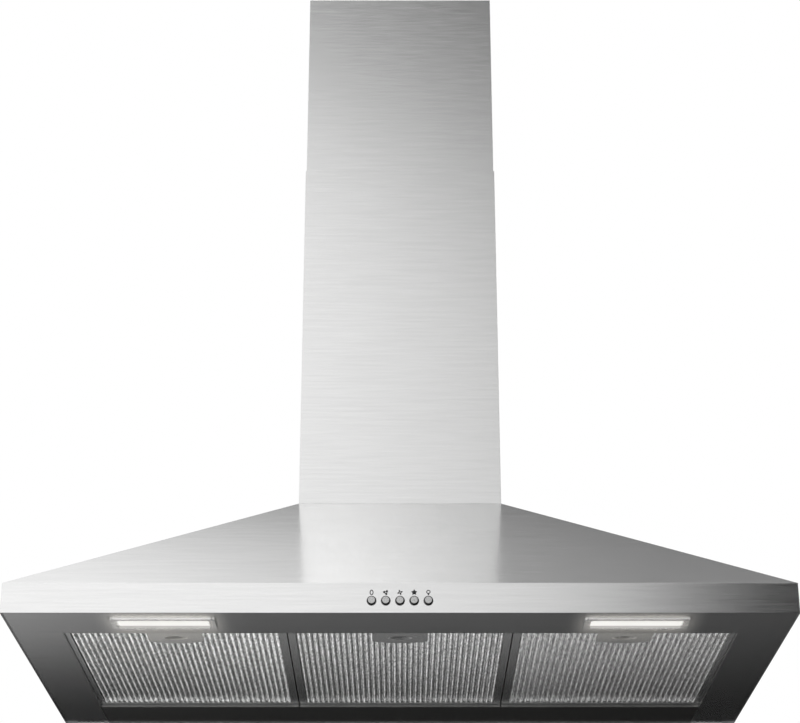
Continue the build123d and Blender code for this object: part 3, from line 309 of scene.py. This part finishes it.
# ---- other metals, plastics and rubber ----
def plated_sheet(name, colour, roughness):
    """Zinc coated sheet: flat crystals of slightly different grey, with a cloudy lustre."""
    made, graph = finish_named(name)
    place = graph.place()
    crystals = graph.add("TexVoronoi", {"Vector": place, "Scale": 60.0, "Randomness": 1.0})
    grey = graph.add("SeparateColor", {0: crystals.outputs["Color"]}).outputs[0]
    cloud = graph.stretched_noise(place, (14.0,) * 3, 3.0, 0.6)
    patch = graph.number("MULTIPLY_ADD", grey, 0.6, graph.number("MULTIPLY", cloud, 0.4))
    tint = graph.between(patch, *shades_of(colour, 0.82, 1.12))
    matt = graph.number("MULTIPLY_ADD", cloud, 0.22, roughness - 0.11)
    normal = rounded_normal(graph, 0.0005, cloud, 0.08, 0.0001)
    graph.finish(shade(graph, Base_Color=tint, Metallic=1.0, Roughness=matt, Normal=normal))
    return made


def turned_metal(name, colour, roughness, grain, strength):
    """Ground, cast or polished metal: a fine even grain, with a little rubbed brightness."""
    made, graph = finish_named(name)
    place = graph.place()
    fine = graph.stretched_noise(place, (grain,) * 3, 2.0, 0.6)
    rubbed = graph.stretched_noise(place, (40.0,) * 3, 3.0, 0.6)
    patch = graph.number("MULTIPLY_ADD", fine, 0.5, graph.number("MULTIPLY", rubbed, 0.5))
    tint = graph.between(patch, *shades_of(colour, 0.86, 1.08))
    matt = graph.number("MULTIPLY_ADD", rubbed, 0.14, roughness - 0.07)
    normal = rounded_normal(graph, 0.0003, fine, strength, 0.00004)
    graph.finish(shade(graph, Base_Color=tint, Metallic=1.0, Roughness=matt, Normal=normal))
    return made


def moulded(name, colour, roughness, grain=1400.0, strength=0.2, radius=0.0003, wax=0.5):
    """Moulded plastic or rubber: a fine spark-eroded grain, faint flow marks and dull patches."""
    made, graph = finish_named(name)
    place = graph.place()
    fine = graph.stretched_noise(place, (grain,) * 3, 2.0, 0.65)
    flow = graph.stretched_noise(place, (18.0, 18.0, 7.0), 3.0, 0.6)
    patch = graph.number("MULTIPLY_ADD", fine, 0.35, graph.number("MULTIPLY", flow, 0.65))
    darkest = tuple(c * 0.84 for c in colour)
    lightest = tuple(min(1.0, c * 1.14 + 0.004) for c in colour)
    tint = graph.between(patch, darkest, lightest)
    matt = graph.number("MULTIPLY_ADD", flow, 0.18, roughness - 0.09)
    normal = rounded_normal(graph, radius, fine, strength, 0.00005)
    graph.finish(shade(graph, Base_Color=tint, Roughness=matt, Normal=normal, Specular_IOR_Level=wax))
    return made


# ---- the filters' expanded metal ----
def painted_pleat_light(graph):
    """Painted light and shade on the pack by its place: how bright it is across each pleat, from the valley
    on its left over the low fold at its middle to the valley on its right, with each of the three filters'
    lit and shaded flanks, and from the front to the rear, where the flanks grow darker than the folds."""
    place = graph.axes()
    filter_number = graph.number("ROUND", graph.number("DIVIDE", place["X"], filter_places["right"]))
    from_middle = graph.number("MULTIPLY_ADD", filter_number, -filter_places["right"], place["X"])
    phase = graph.number("FRACT", graph.number("MULTIPLY_ADD", from_middle, 1 / pleat_pitch, 40.5))
    grey = {name: graph.steps(phase, [(at, painted_pleat_level * value) for at, value in stops])
            for name, stops in painted_pleat_grey.items()}
    on_left = graph.number("LESS_THAN", filter_number, -0.5)
    on_right = graph.number("GREATER_THAN", filter_number, 0.5)
    level = graph.between(on_right, graph.between(on_left, grey["centre"], grey["left"]), grey["right"])
    # Painted shade falling off from the front to the rear, more on the flanks than on the folds.
    back = graph.rise(place["Y"], mesh_front, window_rear)
    painted_fold_falloff = graph.steps(back, [(0.0, 1.0), (0.93, 0.62), (0.965, 0.9), (1.0, 0.9)])
    painted_flank_falloff = graph.steps(back, [(0.0, 1.0), (0.45, 0.66), (0.7, 0.47), (0.93, 0.32), (0.965, 0.7),
                                    (1.0, 0.7)])
    fold = graph.steps(phase, [(0.40, 0.0), (0.47, 1.0), (0.55, 1.0), (0.62, 0.0)])
    return graph.times(level, graph.between(fold, painted_flank_falloff, painted_fold_falloff))


def pack_behind(name, colour):
    """The deeper layers of the filter's pack: staggered diamond cells, dark in the middle and bright along
    their strands, in the unfolded sheet's directions, up the fold and along the hood's depth, under the
    painted light and shade of each pleat."""
    made, graph = finish_named(name)
    place = graph.axes()
    up = graph.number("MULTIPLY", place["Z"], math.pi / 0.00105)
    along = graph.number("MULTIPLY", place["Y"], math.pi / 0.00236)
    waves = graph.number("MULTIPLY", graph.number("SINE", graph.number("ADD", up, along)),
                         graph.number("SINE", graph.number("SUBTRACT", up, along)))
    hollow = graph.number("MULTIPLY", graph.number("ABSOLUTE", waves), 1.7)
    strand = graph.number("SUBTRACT", 1.0, hollow, clamp=True)
    speckle = graph.stretched_noise(graph.place(), (700.0,) * 3, 2.0, 0.7)
    share = graph.number("MULTIPLY", strand, graph.number("MULTIPLY_ADD", speckle, 1.2, 0.2), clamp=True)
    # Painted light and shade across each pleat and towards the rear.
    tint = graph.times(graph.between(share, *shades_of(colour, 0.10, 0.9)), painted_pleat_light(graph))
    matt = graph.number("MULTIPLY_ADD", speckle, 0.2, 0.35)
    normal = rounded_normal(graph, 0.0002, strand, 0.6, 0.0003)
    graph.finish(shade(graph, Base_Color=tint, Metallic=0.3, Roughness=matt, Normal=normal))
    return made


def strand_metal(name, colour):
    """The outer strands, with painted light and shade: bright where a fold comes down towards the cook,
    duller further up and to the rear, with dark spots between the bonds."""
    made, graph = finish_named(name)
    speckle = graph.stretched_noise(graph.place(), (540.0, 130.0, 300.0), 2.0, 0.6)
    spots = graph.rise(speckle, 0.42, 0.56)
    tint = graph.between(spots, tuple(c * 0.42 for c in colour), tuple(c * 1.4 for c in colour))
    # Painted light and shade across each pleat and towards the rear.
    tint = graph.times(tint, painted_pleat_light(graph))
    matt = graph.number("MULTIPLY_ADD", speckle, 0.2, 0.28)
    graph.finish(shade(graph, Base_Color=tint, Metallic=0.05, Roughness=matt))
    return made


# ---- buttons and lamps ----
def capped_button(name, colour):
    """A push button: a bright satin cap, its smooth sides painted near black as shade that stands in for the
    dark they mirror, with a fine turned grain on the cap.
    """
    made, graph = finish_named(name)
    place = graph.axes()
    nearest = graph.number("ROUND", graph.number("DIVIDE", place["X"], button_spacing))
    aside = graph.number("SUBTRACT", place["X"], graph.number("MULTIPLY", nearest, button_spacing))
    above = graph.number("SUBTRACT", place["Z"], button_height)
    # Painted shade: the sides round the cap are tinted near black.
    side = graph.rise(graph.length(aside, above), 0.0038, 0.0042)
    fine = graph.stretched_noise(graph.place(), (900.0,) * 3, 3.0, 0.6)
    cap = graph.between(fine, *shades_of(colour, 0.86, 1.12))
    tint = graph.between(side, cap, (0.018, 0.018, 0.019))
    matt = graph.number("MULTIPLY_ADD", fine, 0.12, 0.22)
    normal = rounded_normal(graph, 0.0004, fine, 0.08, 0.00005)
    graph.finish(shade(graph, Base_Color=tint, Metallic=1.0, Roughness=matt, Normal=normal))
    return made


def lit_lens(name):
    """A frosted lens with its lamp on: an even, slightly warm glow, a touch brighter behind each lamp
    chip."""
    made, graph = finish_named(name)
    chips = graph.stretched_noise(graph.place(), (38.0, 8.0, 8.0), 1.0, 0.4)
    frost = graph.stretched_noise(graph.place(), (1500.0,) * 3, 2.0, 0.6)
    glow = graph.between(chips, (0.84, 0.825, 0.795), (0.93, 0.915, 0.885))
    normal = graph.add("Bump", {"Strength": 0.15, "Distance": 0.00005, "Height": frost}).outputs[0]
    graph.finish(shade(graph, Base_Color=(0.0, 0.0, 0.0, 1), Roughness=0.4, Normal=normal,
                       Specular_IOR_Level=0.1, Emission_Color=glow, Emission_Strength=1.02))
    return made


# ---- the finishes, and which node wears which ----
steel_grey = (0.83, 0.83, 0.828)
upright_grain = (26.0, 26.0, 700.0)
level_grain = (26.0, 700.0, 26.0)
steel_upright = brushed_steel("brushed_steel_upright", steel_grey, 0.20, upright_grain, 0.03)
# The underside's steel gets painted light beside the lamps.
steel_level = brushed_steel("brushed_steel_level", steel_grey, 0.21, level_grain, metal=0.986, relief=0.05,
                            painted_lamp_glow=True)
# The bezels get painted shade on their inner walls and a painted highlight on their front edge.
steel_bezel = brushed_steel("brushed_steel_bezel", steel_grey, 0.21, level_grain, 0.02, 0.0003, metal=0.93,
                            relief=0.01, bezel_wall_shade_and_edge_glint=True)
# The rear strip is the same steel with its colour painted darker, as shade.
shaded_strip_steel = brushed_steel("brushed_steel_strip_shaded", (0.44, 0.44, 0.435), 0.30, level_grain, metal=0.987,
                            relief=0.05)
zinc = plated_sheet("zinc_plated_sheet", (0.52, 0.53, 0.54), 0.42)
# The filter frames get painted light: duller metal with a warm tint beside the lamps, and duller metal
# towards the front.
frame_aluminium = brushed_steel("satin_aluminium", (0.82, 0.82, 0.815), 0.24, (30.0, 620.0, 30.0), 0.03,
                                0.0002, metal=0.98, relief=0.05, painted_lamp_glow=True, front=0.052)
strand_aluminium = strand_metal("expanded_aluminium", (0.96, 0.96, 0.955))
pack_aluminium = pack_behind("expanded_aluminium_behind", (0.86, 0.86, 0.855))
button_steel = capped_button("polished_button", (0.58, 0.58, 0.578))
black_plastic = moulded("black_moulding", (0.022, 0.022, 0.024), 0.48)
grey_plastic = moulded("grey_moulding", (0.17, 0.175, 0.18), 0.45)
board_white = moulded("lamp_board", (0.72, 0.72, 0.69), 0.4, 900.0, 0.1)
lens_lit = lit_lens("lit_lens")
cast_metal = turned_metal("cast_motor_casing", (0.34, 0.34, 0.345), 0.5, 1100.0, 0.35)
ground_steel = turned_metal("ground_steel", (0.56, 0.56, 0.565), 0.27, 1600.0, 0.12)
screw_metal = turned_metal("plated_screws", (0.55, 0.55, 0.54), 0.30, 1800.0, 0.12)
rubber = moulded("rubber_mount", (0.018, 0.018, 0.018), 0.7, 1100.0, 0.3, 0.0003, 0.35)
sheath = moulded("lead_sheath", (0.03, 0.03, 0.033), 0.5, 1300.0, 0.12, 0.0002)
symbol_ink = moulded("symbol_ink", (0.012, 0.012, 0.013), 0.55, 3000.0, 0.1, 0.00005, 0.3)

finishes = {
    "stainless_steel": steel_upright, "zinc_sheet": zinc, "filter_aluminium": frame_aluminium,
    "filter_mesh_aluminium": pack_aluminium, "polished_steel": button_steel, "blower_plastic": black_plastic,
    "grey_plastic": grey_plastic, "white_board": board_white, "lamp_diffuser": lens_lit,
    "motor_casing": cast_metal, "shaft_steel": ground_steel, "rubber_mount": rubber,
    "screw_steel": screw_metal, "lead_sheath": sheath,
}
own_finish = {"base_panel": steel_level, "lamp_bezel_left": steel_bezel, "lamp_bezel_right": steel_bezel,
              "rear_strip": shaded_strip_steel}


def dress(piece, finish):
    """Gives the piece this finish alone."""
    piece.data.materials.clear()
    piece.data.materials.append(finish)


for part in frame["record"]["subparts"]:
    node_name = part["node"]
    dress(hood_nodes[node_name], own_finish.get(node_name, finishes[part["material_slot"]]))


# ---- meshes from arrays ----
def piece_from(name, points, faces, finish):
    """A mesh piece at the origin, with its place in its points."""
    mesh = bpy.data.meshes.new(name)
    mesh.from_pydata(points.tolist(), [], faces)
    mesh.validate()
    mesh.update()
    mesh.shade_flat()
    made = bpy.data.objects.new(name, mesh)
    bpy.context.scene.collection.objects.link(made)
    dress(made, finish)
    return made


def bar_faces(rings, start):
    """Closed bars: rings holds each bar's corners at each station along it, whose points are numbered from
    start. A quad joins each pair of neighbouring corners to the next station's, and one face closes each
    end."""
    bars, stations, corners = rings.shape[:3]
    index = start + np.arange(bars * stations * corners).reshape(bars, stations, corners)
    here, ahead = index[:, :-1], index[:, 1:]
    quads = np.stack([here, ahead, np.roll(ahead, -1, 2), np.roll(here, -1, 2)], -1).reshape(-1, 4)
    ends = np.concatenate([index[:, 0], index[:, -1, ::-1]])
    return quads.tolist() + ends.tolist()


# ---- the filters' outer layer ----
def pleat_surface(distance):
    """The folded sheet: distance counts flanks from the centre, so whole numbers are folds, the even ones
    low. Returns the place across, the height above the low folds and the sheet's slope, which turns at each
    fold."""
    phase = distance - np.floor(distance)
    rising = (np.floor(distance).astype(int) % 2) == 0
    height = np.where(rising, phase, 1 - phase) * pleat_rise
    at_fold = np.abs(distance - np.round(distance)) < 1e-6
    slope = np.where(at_fold, 0.0, np.where(rising, 1.0, -1.0))
    return distance * pleat_pitch / 2, height, slope


def pack_front(across):
    """Where the strands begin: at the frame's front bar, and behind the half-moon handle in the middle,
    whose edge is a parabola that bulges to the rear."""
    behind_handle = handle_edge + handle_bulge * (1 - (across / handle_half) ** 2)
    return np.where(np.abs(across) < handle_half, behind_handle, mesh_front)


def stations_along(front, rear, spacing):
    """Evenly spaced stations from each bar's front to the rear, as many as the longest bar needs."""
    count = int(np.ceil((rear - front.min()) / spacing))
    step = np.arange(count + 1)
    return step, front[:, None] + (rear - front)[:, None] * step[None, :] / count


def pressed_share(y):
    """How far the pleats are pressed flat: nothing until crimp_length before the rear bar, and all at
    it."""
    return np.clip((y - window_rear + crimp_length) / crimp_length, 0, 1)


def strand_rings(centre, columns, random):
    """Three-sided bars: each column's strand steps from one of its two lines of bonds to the other at each
    station, and wanders a little, except at the folds. Its corners lie round it in the sheet's own
    slope."""
    x_middle = (columns + 0.5) / columns_on_flank * pleat_pitch / 2
    step, y = stations_along(pack_front(x_middle), mesh_rear, cell_length)
    side = (columns[:, None] + step[None, :]) % 2
    line = columns[:, None] + side
    inward = np.where(side == 1, -1.0, 1.0) * bond_inset / columns_on_flank
    wander = random.normal(0, bond_wander, line.shape) / columns_on_flank
    moved = np.where(line % columns_on_flank == 0, 0, inward + wander)
    x, height, slope = pleat_surface(line / columns_on_flank + moved)
    pressed = pressed_share(y)
    height = height * (1 - crimp_share * pressed * pressed * (3 - 2 * pressed))
    y = y + random.normal(0, strand_jitter, y.shape)
    lean = np.arctan2(pleat_rise, pleat_pitch / 2) * slope
    level = np.zeros_like(lean)
    normal = np.stack([np.sin(lean), level, -np.cos(lean)], -1)
    along = np.stack([np.cos(lean), level, np.sin(lean)], -1)
    spot = np.stack([centre + x, y, pleat_low + height], -1) + normal * strand_size * strand_lift
    base = spot - 0.5 * normal * strand_size
    return np.stack([spot + normal * strand_size, base + 0.87 * along * strand_size,
                     base - 0.87 * along * strand_size], 2)


def bead_rings(centre, random):
    """Four-sided beads under the low folds: each is a diamond in section that swells and shrinks along its
    fold once in two cells, drifts a little sideways and grows slightly where the pleats are pressed
    flat."""
    fold = np.arange(-beads_each_side, beads_each_side + 1)
    x_fold = fold * pleat_pitch
    step, y = stations_along(pack_front(x_fold), window_rear, cell_length / 2)
    wave = 0.28 * np.sin(math.pi * y / cell_length + fold[:, None] * 2.4)
    half = bead_half * (1 + wave + random.normal(0, 0.07, y.shape))
    x = centre + x_fold[:, None] + random.normal(0, bead_jitter, y.shape)
    low = np.full_like(y, pleat_low - bead_drop)
    shoulder, top = low + bead_shoulder, low + bead_height + 0.0001 * pressed_share(y)
    return np.stack([np.stack([x - half, y, shoulder], -1), np.stack([x, y, low], -1),
                     np.stack([x + half, y, shoulder], -1), np.stack([x, y, top], -1)], 2)


def strand_layer(name, centre, body):
    """Expanded sheet laid in pleats: each column is one strand that zigzags between two lines of bonds,
    carried along the hood's depth, and neighbouring columns meet at the bonds. The columns behind the
    handle are shorter, the pleats are pressed flatter at their rear ends, and a bead runs along each low
    fold."""
    flanks = round(window_half / (pleat_pitch / 2)) + 1
    columns = np.arange(-flanks * columns_on_flank, flanks * columns_on_flank)
    behind_handle = np.abs((columns + 0.5) / columns_on_flank * pleat_pitch / 2) < handle_half
    random = np.random.default_rng(11)
    points, faces, start = [], [], 0
    for rings in (strand_rings(centre, columns[~behind_handle], random),
                  strand_rings(centre, columns[behind_handle], random),
                  bead_rings(centre, random)):
        points.append(rings.reshape(-1, 3))
        faces += bar_faces(rings, start)
        start += len(points[-1])
    made = piece_from(name, np.concatenate(points), faces, strand_aluminium)
    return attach(made, body)


for place_name, centre_x in filter_places.items():
    strand_layer("filter_strands_" + place_name, centre_x, "filter_" + place_name)


# ---- the symbols over the buttons, printed on the rim ----
print_front = rim_front - 0.00022
print_back = rim_front + 0.0001
blade_length = 0.0033
star_reach = 0.0036
star_waist = 0.56


def flat_print(name, outer, inner=None):
    """One flat mark, as thick as its ink: the band between two loops of points, or the whole of one loop,
    filled as a fan round its middle. The loops lie at the print's front and again at its back, with walls
    between."""
    count = len(outer)
    here = np.arange(count)
    after = (here + 1) % count
    second = outer.mean(0)[None, :] if inner is None else inner
    points = np.concatenate([np.stack([loop[:, 0], np.full(len(loop), y), loop[:, 1]], -1)
                             for y in (print_front, print_back) for loop in (outer, second)])
    back = count + len(second)
    faces = np.stack([here, after, after + back, here + back], -1)[:, ::-1].tolist()
    if inner is None:
        fan = np.stack([here, after, np.full(count, count)], -1)
        faces += fan.tolist() + (fan[:, ::-1] + back).tolist()
    else:
        band = np.stack([here, after, after + count, here + count], -1)
        wall = np.stack([here + count, after + count, after + count + back, here + count + back], -1)
        faces += band.tolist() + (band[:, ::-1] + back).tolist() + wall.tolist()
    made = piece_from(name, points, faces, symbol_ink)
    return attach(made, "hood")


def loop_points(centre, wide, high, power=1.0):
    """An oval of 40 points round a centre, pointed at its top and bottom where power is above one."""
    angle = np.linspace(0, 2 * math.pi, 40, endpoint=False)
    cosine = np.sign(np.cos(angle)) * np.abs(np.cos(angle)) ** power
    return np.stack([centre[0] + wide * cosine, centre[1] + high * np.sin(angle)], -1)


def blade_points(centre, angle, width):
    """A fan blade: a teardrop that leaves the hub narrow, widens to two thirds of its length and sweeps
    round."""
    share = np.linspace(0, 1, 12)
    reach = 0.12 + 0.88 * share
    half = width * np.sin(math.pi * share ** 0.75) ** 0.8
    sweep = 0.35 * share
    out = np.concatenate([np.stack([reach, half + sweep * 0.3], -1),
                          np.stack([reach[::-1], -half[::-1] + sweep[::-1] * 0.3], -1)[1:-1]])
    c, s = math.cos(angle), math.sin(angle)
    x, z = out[:, 0] * blade_length, out[:, 1] * blade_length
    return np.stack([centre[0] + x * c - z * s, centre[1] + x * s + z * c], -1)[::-1]


def star_points(centre):
    """A five-pointed star with its top point up: ten points, alternately far and near."""
    angle = math.pi / 2 + np.arange(10) * math.pi / 5
    reach = np.where(np.arange(10) % 2 == 0, star_reach, star_waist * star_reach)
    return np.stack([centre[0] + reach * np.cos(angle), centre[1] + reach * np.sin(angle)], -1)


def fan_symbol(name, centre, blades, first_angle, width):
    """As many blades as it has, evenly round the hub, the first one at its angle in degrees."""
    for blade in range(blades):
        angle = math.radians(first_angle + 360 // blades * blade)
        flat_print(f"{name}_{blade}", blade_points(centre, angle, width))


symbol_places = [((index - 2) * button_spacing, symbol_height) for index in range(5)]
off_place, low_place, middle_place, high_place, light_place = symbol_places
bulb_place = (light_place[0], light_place[1] + 0.0006)
flat_print("symbol_off", loop_points(off_place, 0.0022, 0.0032, power=1.15),
           loop_points(off_place, 0.0012, 0.0022, power=1.15))
fan_symbol("symbol_fan_low", low_place, 3, 40, 0.42)
fan_symbol("symbol_fan_middle", middle_place, 4, 15, 0.27)
flat_print("symbol_fan_high", star_points(high_place))
flat_print("symbol_light", loop_points(bulb_place, 0.0024, 0.0022), loop_points(bulb_place, 0.0015, 0.0013))
flat_print("symbol_light_foot", np.add(light_place, [(-0.0009, -0.0017), (-0.0007, -0.0031),
                                                     (0.0007, -0.0031), (0.0009, -0.0017)]))


# ---- the studio ----
def stops_between(low, high, *stops):
    """Stops placed in metres, as shares of the way from low to high."""
    return [((at - low) / (high - low), value) for at, value in stops]


def screen_named(name):
    """A screen's finish, whose light is seen in the hood's steel alone."""
    made, graph = finish_named(name)
    made.cycles.emission_sampling = "NONE"
    return made, graph


def floor_finish():
    """Pale floor, seen from above only, that fades out into the white far from the hood."""
    made, graph = finish_named("pale_floor")
    place = graph.place()
    distance = graph.add("VectorMath", {0: place}, operation="LENGTH").outputs["Value"]
    fade = graph.rise(distance, 3.5, 8.0, smooth=True)
    clear = graph.number("MAXIMUM", fade, graph.add("NewGeometry").outputs["Backfacing"])
    mottle = graph.stretched_noise(place, (60.0,) * 3, 3.0, 0.6)
    tint = graph.between(mottle, (0.84, 0.84, 0.835), (0.87, 0.87, 0.865))
    solid = shade(graph, Base_Color=tint, Roughness=0.75, Specular_IOR_Level=0.15)
    graph.finish(graph.see_through(clear, solid))
    return made


def front_screen_finish():
    """The studio in front of the hood as its steel shows it: bright on the left, falling away on the right
    and towards the top."""
    made, graph = screen_named("front_screen")
    place = graph.axes()
    x, z = place["X"], place["Z"]
    left, right = -3.2, 6.4
    sideways = graph.steps(graph.rise(x, left, right), stops_between(
        left, right, (-3.1, 1.0), (-2.14, 1.0), (-0.56, 0.92), (0.28, 0.83), (0.83, 0.75), (1.09, 0.63),
        (1.375, 0.44), (1.64, 0.20), (1.85, 0.03), (2.2, 0.0), (5.5, 0.0), (6.3, 0.2)))
    height = graph.number("MULTIPLY_ADD", x, 0.30, z)
    upward = graph.steps(graph.number("DIVIDE", height, 10.0),
                         [(0.0, 0.98), (0.27, 0.98), (0.33, 0.91), (0.39, 0.965), (0.45, 1.05), (0.51, 1.05),
                          (0.545, 0.99), (0.60, 0.64), (0.64, 0.27), (0.70, 0.02), (0.95, 0.0), (1.0, 0.1)])
    high_up = graph.rise(z, 3.0, 5.2)
    rightward = graph.rise(x, -0.6, 0.6, 1.03, 0.75)
    share = graph.number("MULTIPLY_ADD", high_up, graph.number("SUBTRACT", rightward, 1.0), 1.0)
    level = graph.scaled(graph.times(sideways, upward), share)
    graph.finish(graph.add("Emission", {"Color": level, "Strength": 1.12}))
    return made


def wall_screen_finish():
    """The wall behind the hood as its slope and underside show it: bright to the left of the chimney above,
    and dark below, with painted shadows of the hood and the chimney: darker towards the canopy, darkest just
    under the hood, and dimmer at the chimney's upper right."""
    made, graph = screen_named("wall_screen")
    place = graph.axes()
    x, z = place["X"], place["Z"]
    left, right = -1.2, 1.2
    across = graph.rise(x, left, right)
    wide = graph.steps(across, stops_between(
        left, right, (-1.1, 0.98), (-0.51, 0.95), (-0.41, 0.88), (-0.315, 0.81), (-0.205, 0.72),
        (-0.12, 0.66), (0.12, 0.44), (0.164, 0.41), (0.274, 0.335), (0.41, 0.28), (0.55, 0.26), (1.1, 0.26)))
    # Painted shade: darker lower down, towards the canopy.
    darker = graph.steps(graph.rise(z, 0.3, 0.7), [(0.0, 0.27), (0.31, 0.385), (0.475, 0.70), (0.60, 0.967),
                                                   (0.72, 1.11), (1.0, 1.16)])
    # Painted shadow of the chimney at its upper right.
    painted_chimney_shadow = graph.number("MULTIPLY", graph.rise(x, 0.04, 0.16), graph.rise(z, 0.47, 0.62))
    corner = graph.number("MULTIPLY_ADD", painted_chimney_shadow, -0.16, 1.0)
    above = graph.scaled(graph.times(wide, darker), corner)
    below = graph.steps(across, stops_between(
        left, right, (-0.6, 0.30), (-0.2, 0.10), (0.2, 0.075), (0.6, 0.05)))
    # Painted shadow of the hood: darkest just under it.
    painted_hood_shadow = graph.steps(graph.rise(z, -0.30, -0.13), [(0.0, 1.15), (0.16, 1.0), (0.235, 0.74), (0.31, 0.50),
                                                    (0.46, 0.24), (0.71, 0.06), (1.0, 0.03)])
    level = graph.between(graph.rise(z, 0.0, 0.25), graph.times(below, painted_hood_shadow), above)
    glow = graph.add("Emission", {"Color": level, "Strength": 1.0})
    graph.finish(graph.see_through(graph.add("NewGeometry").outputs["Backfacing"], glow))
    return made


def floor_screen_finish():
    """The ground as the hood's underside shows it: dark below the hood, brighter far in front and to the
    left."""
    made, graph = screen_named("floor_screen")
    place = graph.axes()
    far = graph.rise(place["Y"], -3.2, -4.2, 0.035, 0.35)
    across = graph.rise(place["X"], -0.2, 1.0, 1.0, 0.2)
    strength = graph.number("MULTIPLY", far, across)
    graph.finish(graph.add("Emission", {"Color": (1, 1, 1, 1), "Strength": strength}))
    return made


def top_screen_finish():
    """A bright card high in front of the hood, brighter to the left, which the steel slope shows by way of
    the chimney."""
    made, graph = screen_named("top_screen")
    level = graph.steps(graph.rise(graph.axes()["X"], -1.0, 1.0),
                        [(0.0, 1.0), (0.15, 1.0), (0.35, 0.945), (0.5, 0.82), (0.66, 0.71), (0.85, 0.60),
                         (1.0, 0.5)])
    graph.finish(graph.add("Emission", {"Color": level, "Strength": 1.7}))
    return made


def studio_card(name, corners, finish, seen_by_camera=False):
    """A flat card of the studio, facing as its corners turn. One that the camera doesn't see shows in
    mirrored light alone and throws no shadow."""
    made = piece_from(name, np.array(corners, float), [(0, 1, 2, 3)], finish)
    made.visible_camera = seen_by_camera
    if not seen_by_camera:
        made.visible_diffuse = False
        made.visible_shadow = False
        made.visible_transmission = False
        made.visible_volume_scatter = False
    return made


wall_y = 0.02
low_card = floor_height + 0.01
studio_card("studio_floor", [(-9, -9, floor_height), (9, -9, floor_height), (9, 9, floor_height),
                             (-9, 9, floor_height)], floor_finish(), seen_by_camera=True)
studio_card("front_screen", [(-7, -9, floor_height), (-7, -9, 10), (11, -9, 10), (11, -9, floor_height)],
            front_screen_finish())
studio_card("floor_screen", [(-2.5, -8.5, low_card), (2.5, -8.5, low_card), (2.5, wall_y, low_card),
                             (-2.5, wall_y, low_card)], floor_screen_finish())
studio_card("top_screen", [(-4, -9, 10.05), (-4, -4, 16), (4, -4, 16), (4, -9, 10.05)], top_screen_finish())
studio_card("wall_screen", [(-1.6, wall_y, -1.6), (1.6, wall_y, -1.6), (1.6, wall_y, 1.6),
                            (-1.6, wall_y, 1.6)], wall_screen_finish())

world = bpy.data.worlds.new("studio_world")
bpy.context.scene.world = world
sky = Graph(world)
path = sky.add("LightPath").outputs
mirrored = sky.number("MAXIMUM", path["Is Glossy Ray"], path["Is Transmission Ray"])
seen = sky.number("MAXIMUM", path["Is Camera Ray"], mirrored)
plain = sky.add("Background", {"Color": (0.86, 0.865, 0.87, 1), "Strength": 0.85})
white = sky.add("Background", {"Color": (1, 1, 1, 1), "Strength": 1.0})
sky.finish(sky.add("MixShader", {0: seen, 1: plain.outputs[0], 2: white.outputs[0]}), "OutputWorld")


def soft_lamp(name, place, aim, width, height, power, colour=(1, 1, 1)):
    """A rectangular lamp that points from its place to its aim, and shows in no mirror."""
    lamp = bpy.data.lights.new(name, "AREA")
    lamp.shape = "RECTANGLE"
    lamp.size, lamp.size_y, lamp.energy, lamp.color = width, height, power, colour
    made = bpy.data.objects.new(name, lamp)
    made.location = place
    made.rotation_mode = "QUATERNION"
    made.rotation_quaternion = (Vector(aim) - Vector(place)).to_track_quat("-Z", "Y")
    made.visible_camera = False
    made.visible_glossy = False
    bpy.context.scene.collection.objects.link(made)
    return made


soft_lamp("studio_lamp", (-2.6, -3.4, 2.6), (0.0, -0.2, 0.2), 2.0, 2.0, 45.0)
for place_name, centre_x in lamp_places.items():
    soft_lamp("hood_glow_" + place_name, (centre_x, lamp_centre_y, rim_bottom - 0.012),
              (centre_x, lamp_centre_y, 0.0), 0.112, 0.036, 0.10, (1.0, 0.95, 0.88))
soft_lamp("low_lamp", (-1.3, -1.6, -1.1), (0.0, -0.3, -0.12), 1.2, 0.5, 45.0)
soft_lamp("under_lamp", (-0.3, -0.65, -1.5), (0.0, -0.28, -0.12), 0.9, 0.6, 15.0)

camera = bpy.data.cameras.new("camera")
camera.lens, camera.sensor_width = eye_lens, 36.0
camera.clip_start, camera.clip_end = 0.05, 60.0
eye = bpy.data.objects.new("camera", camera)
eye.location = eye_place
eye.rotation_euler = (math.radians(90 + eye_tilt), 0, 0)
bpy.context.scene.collection.objects.link(eye)
bpy.context.scene.camera = eye
bpy.context.scene.view_settings.view_transform = "Standard"
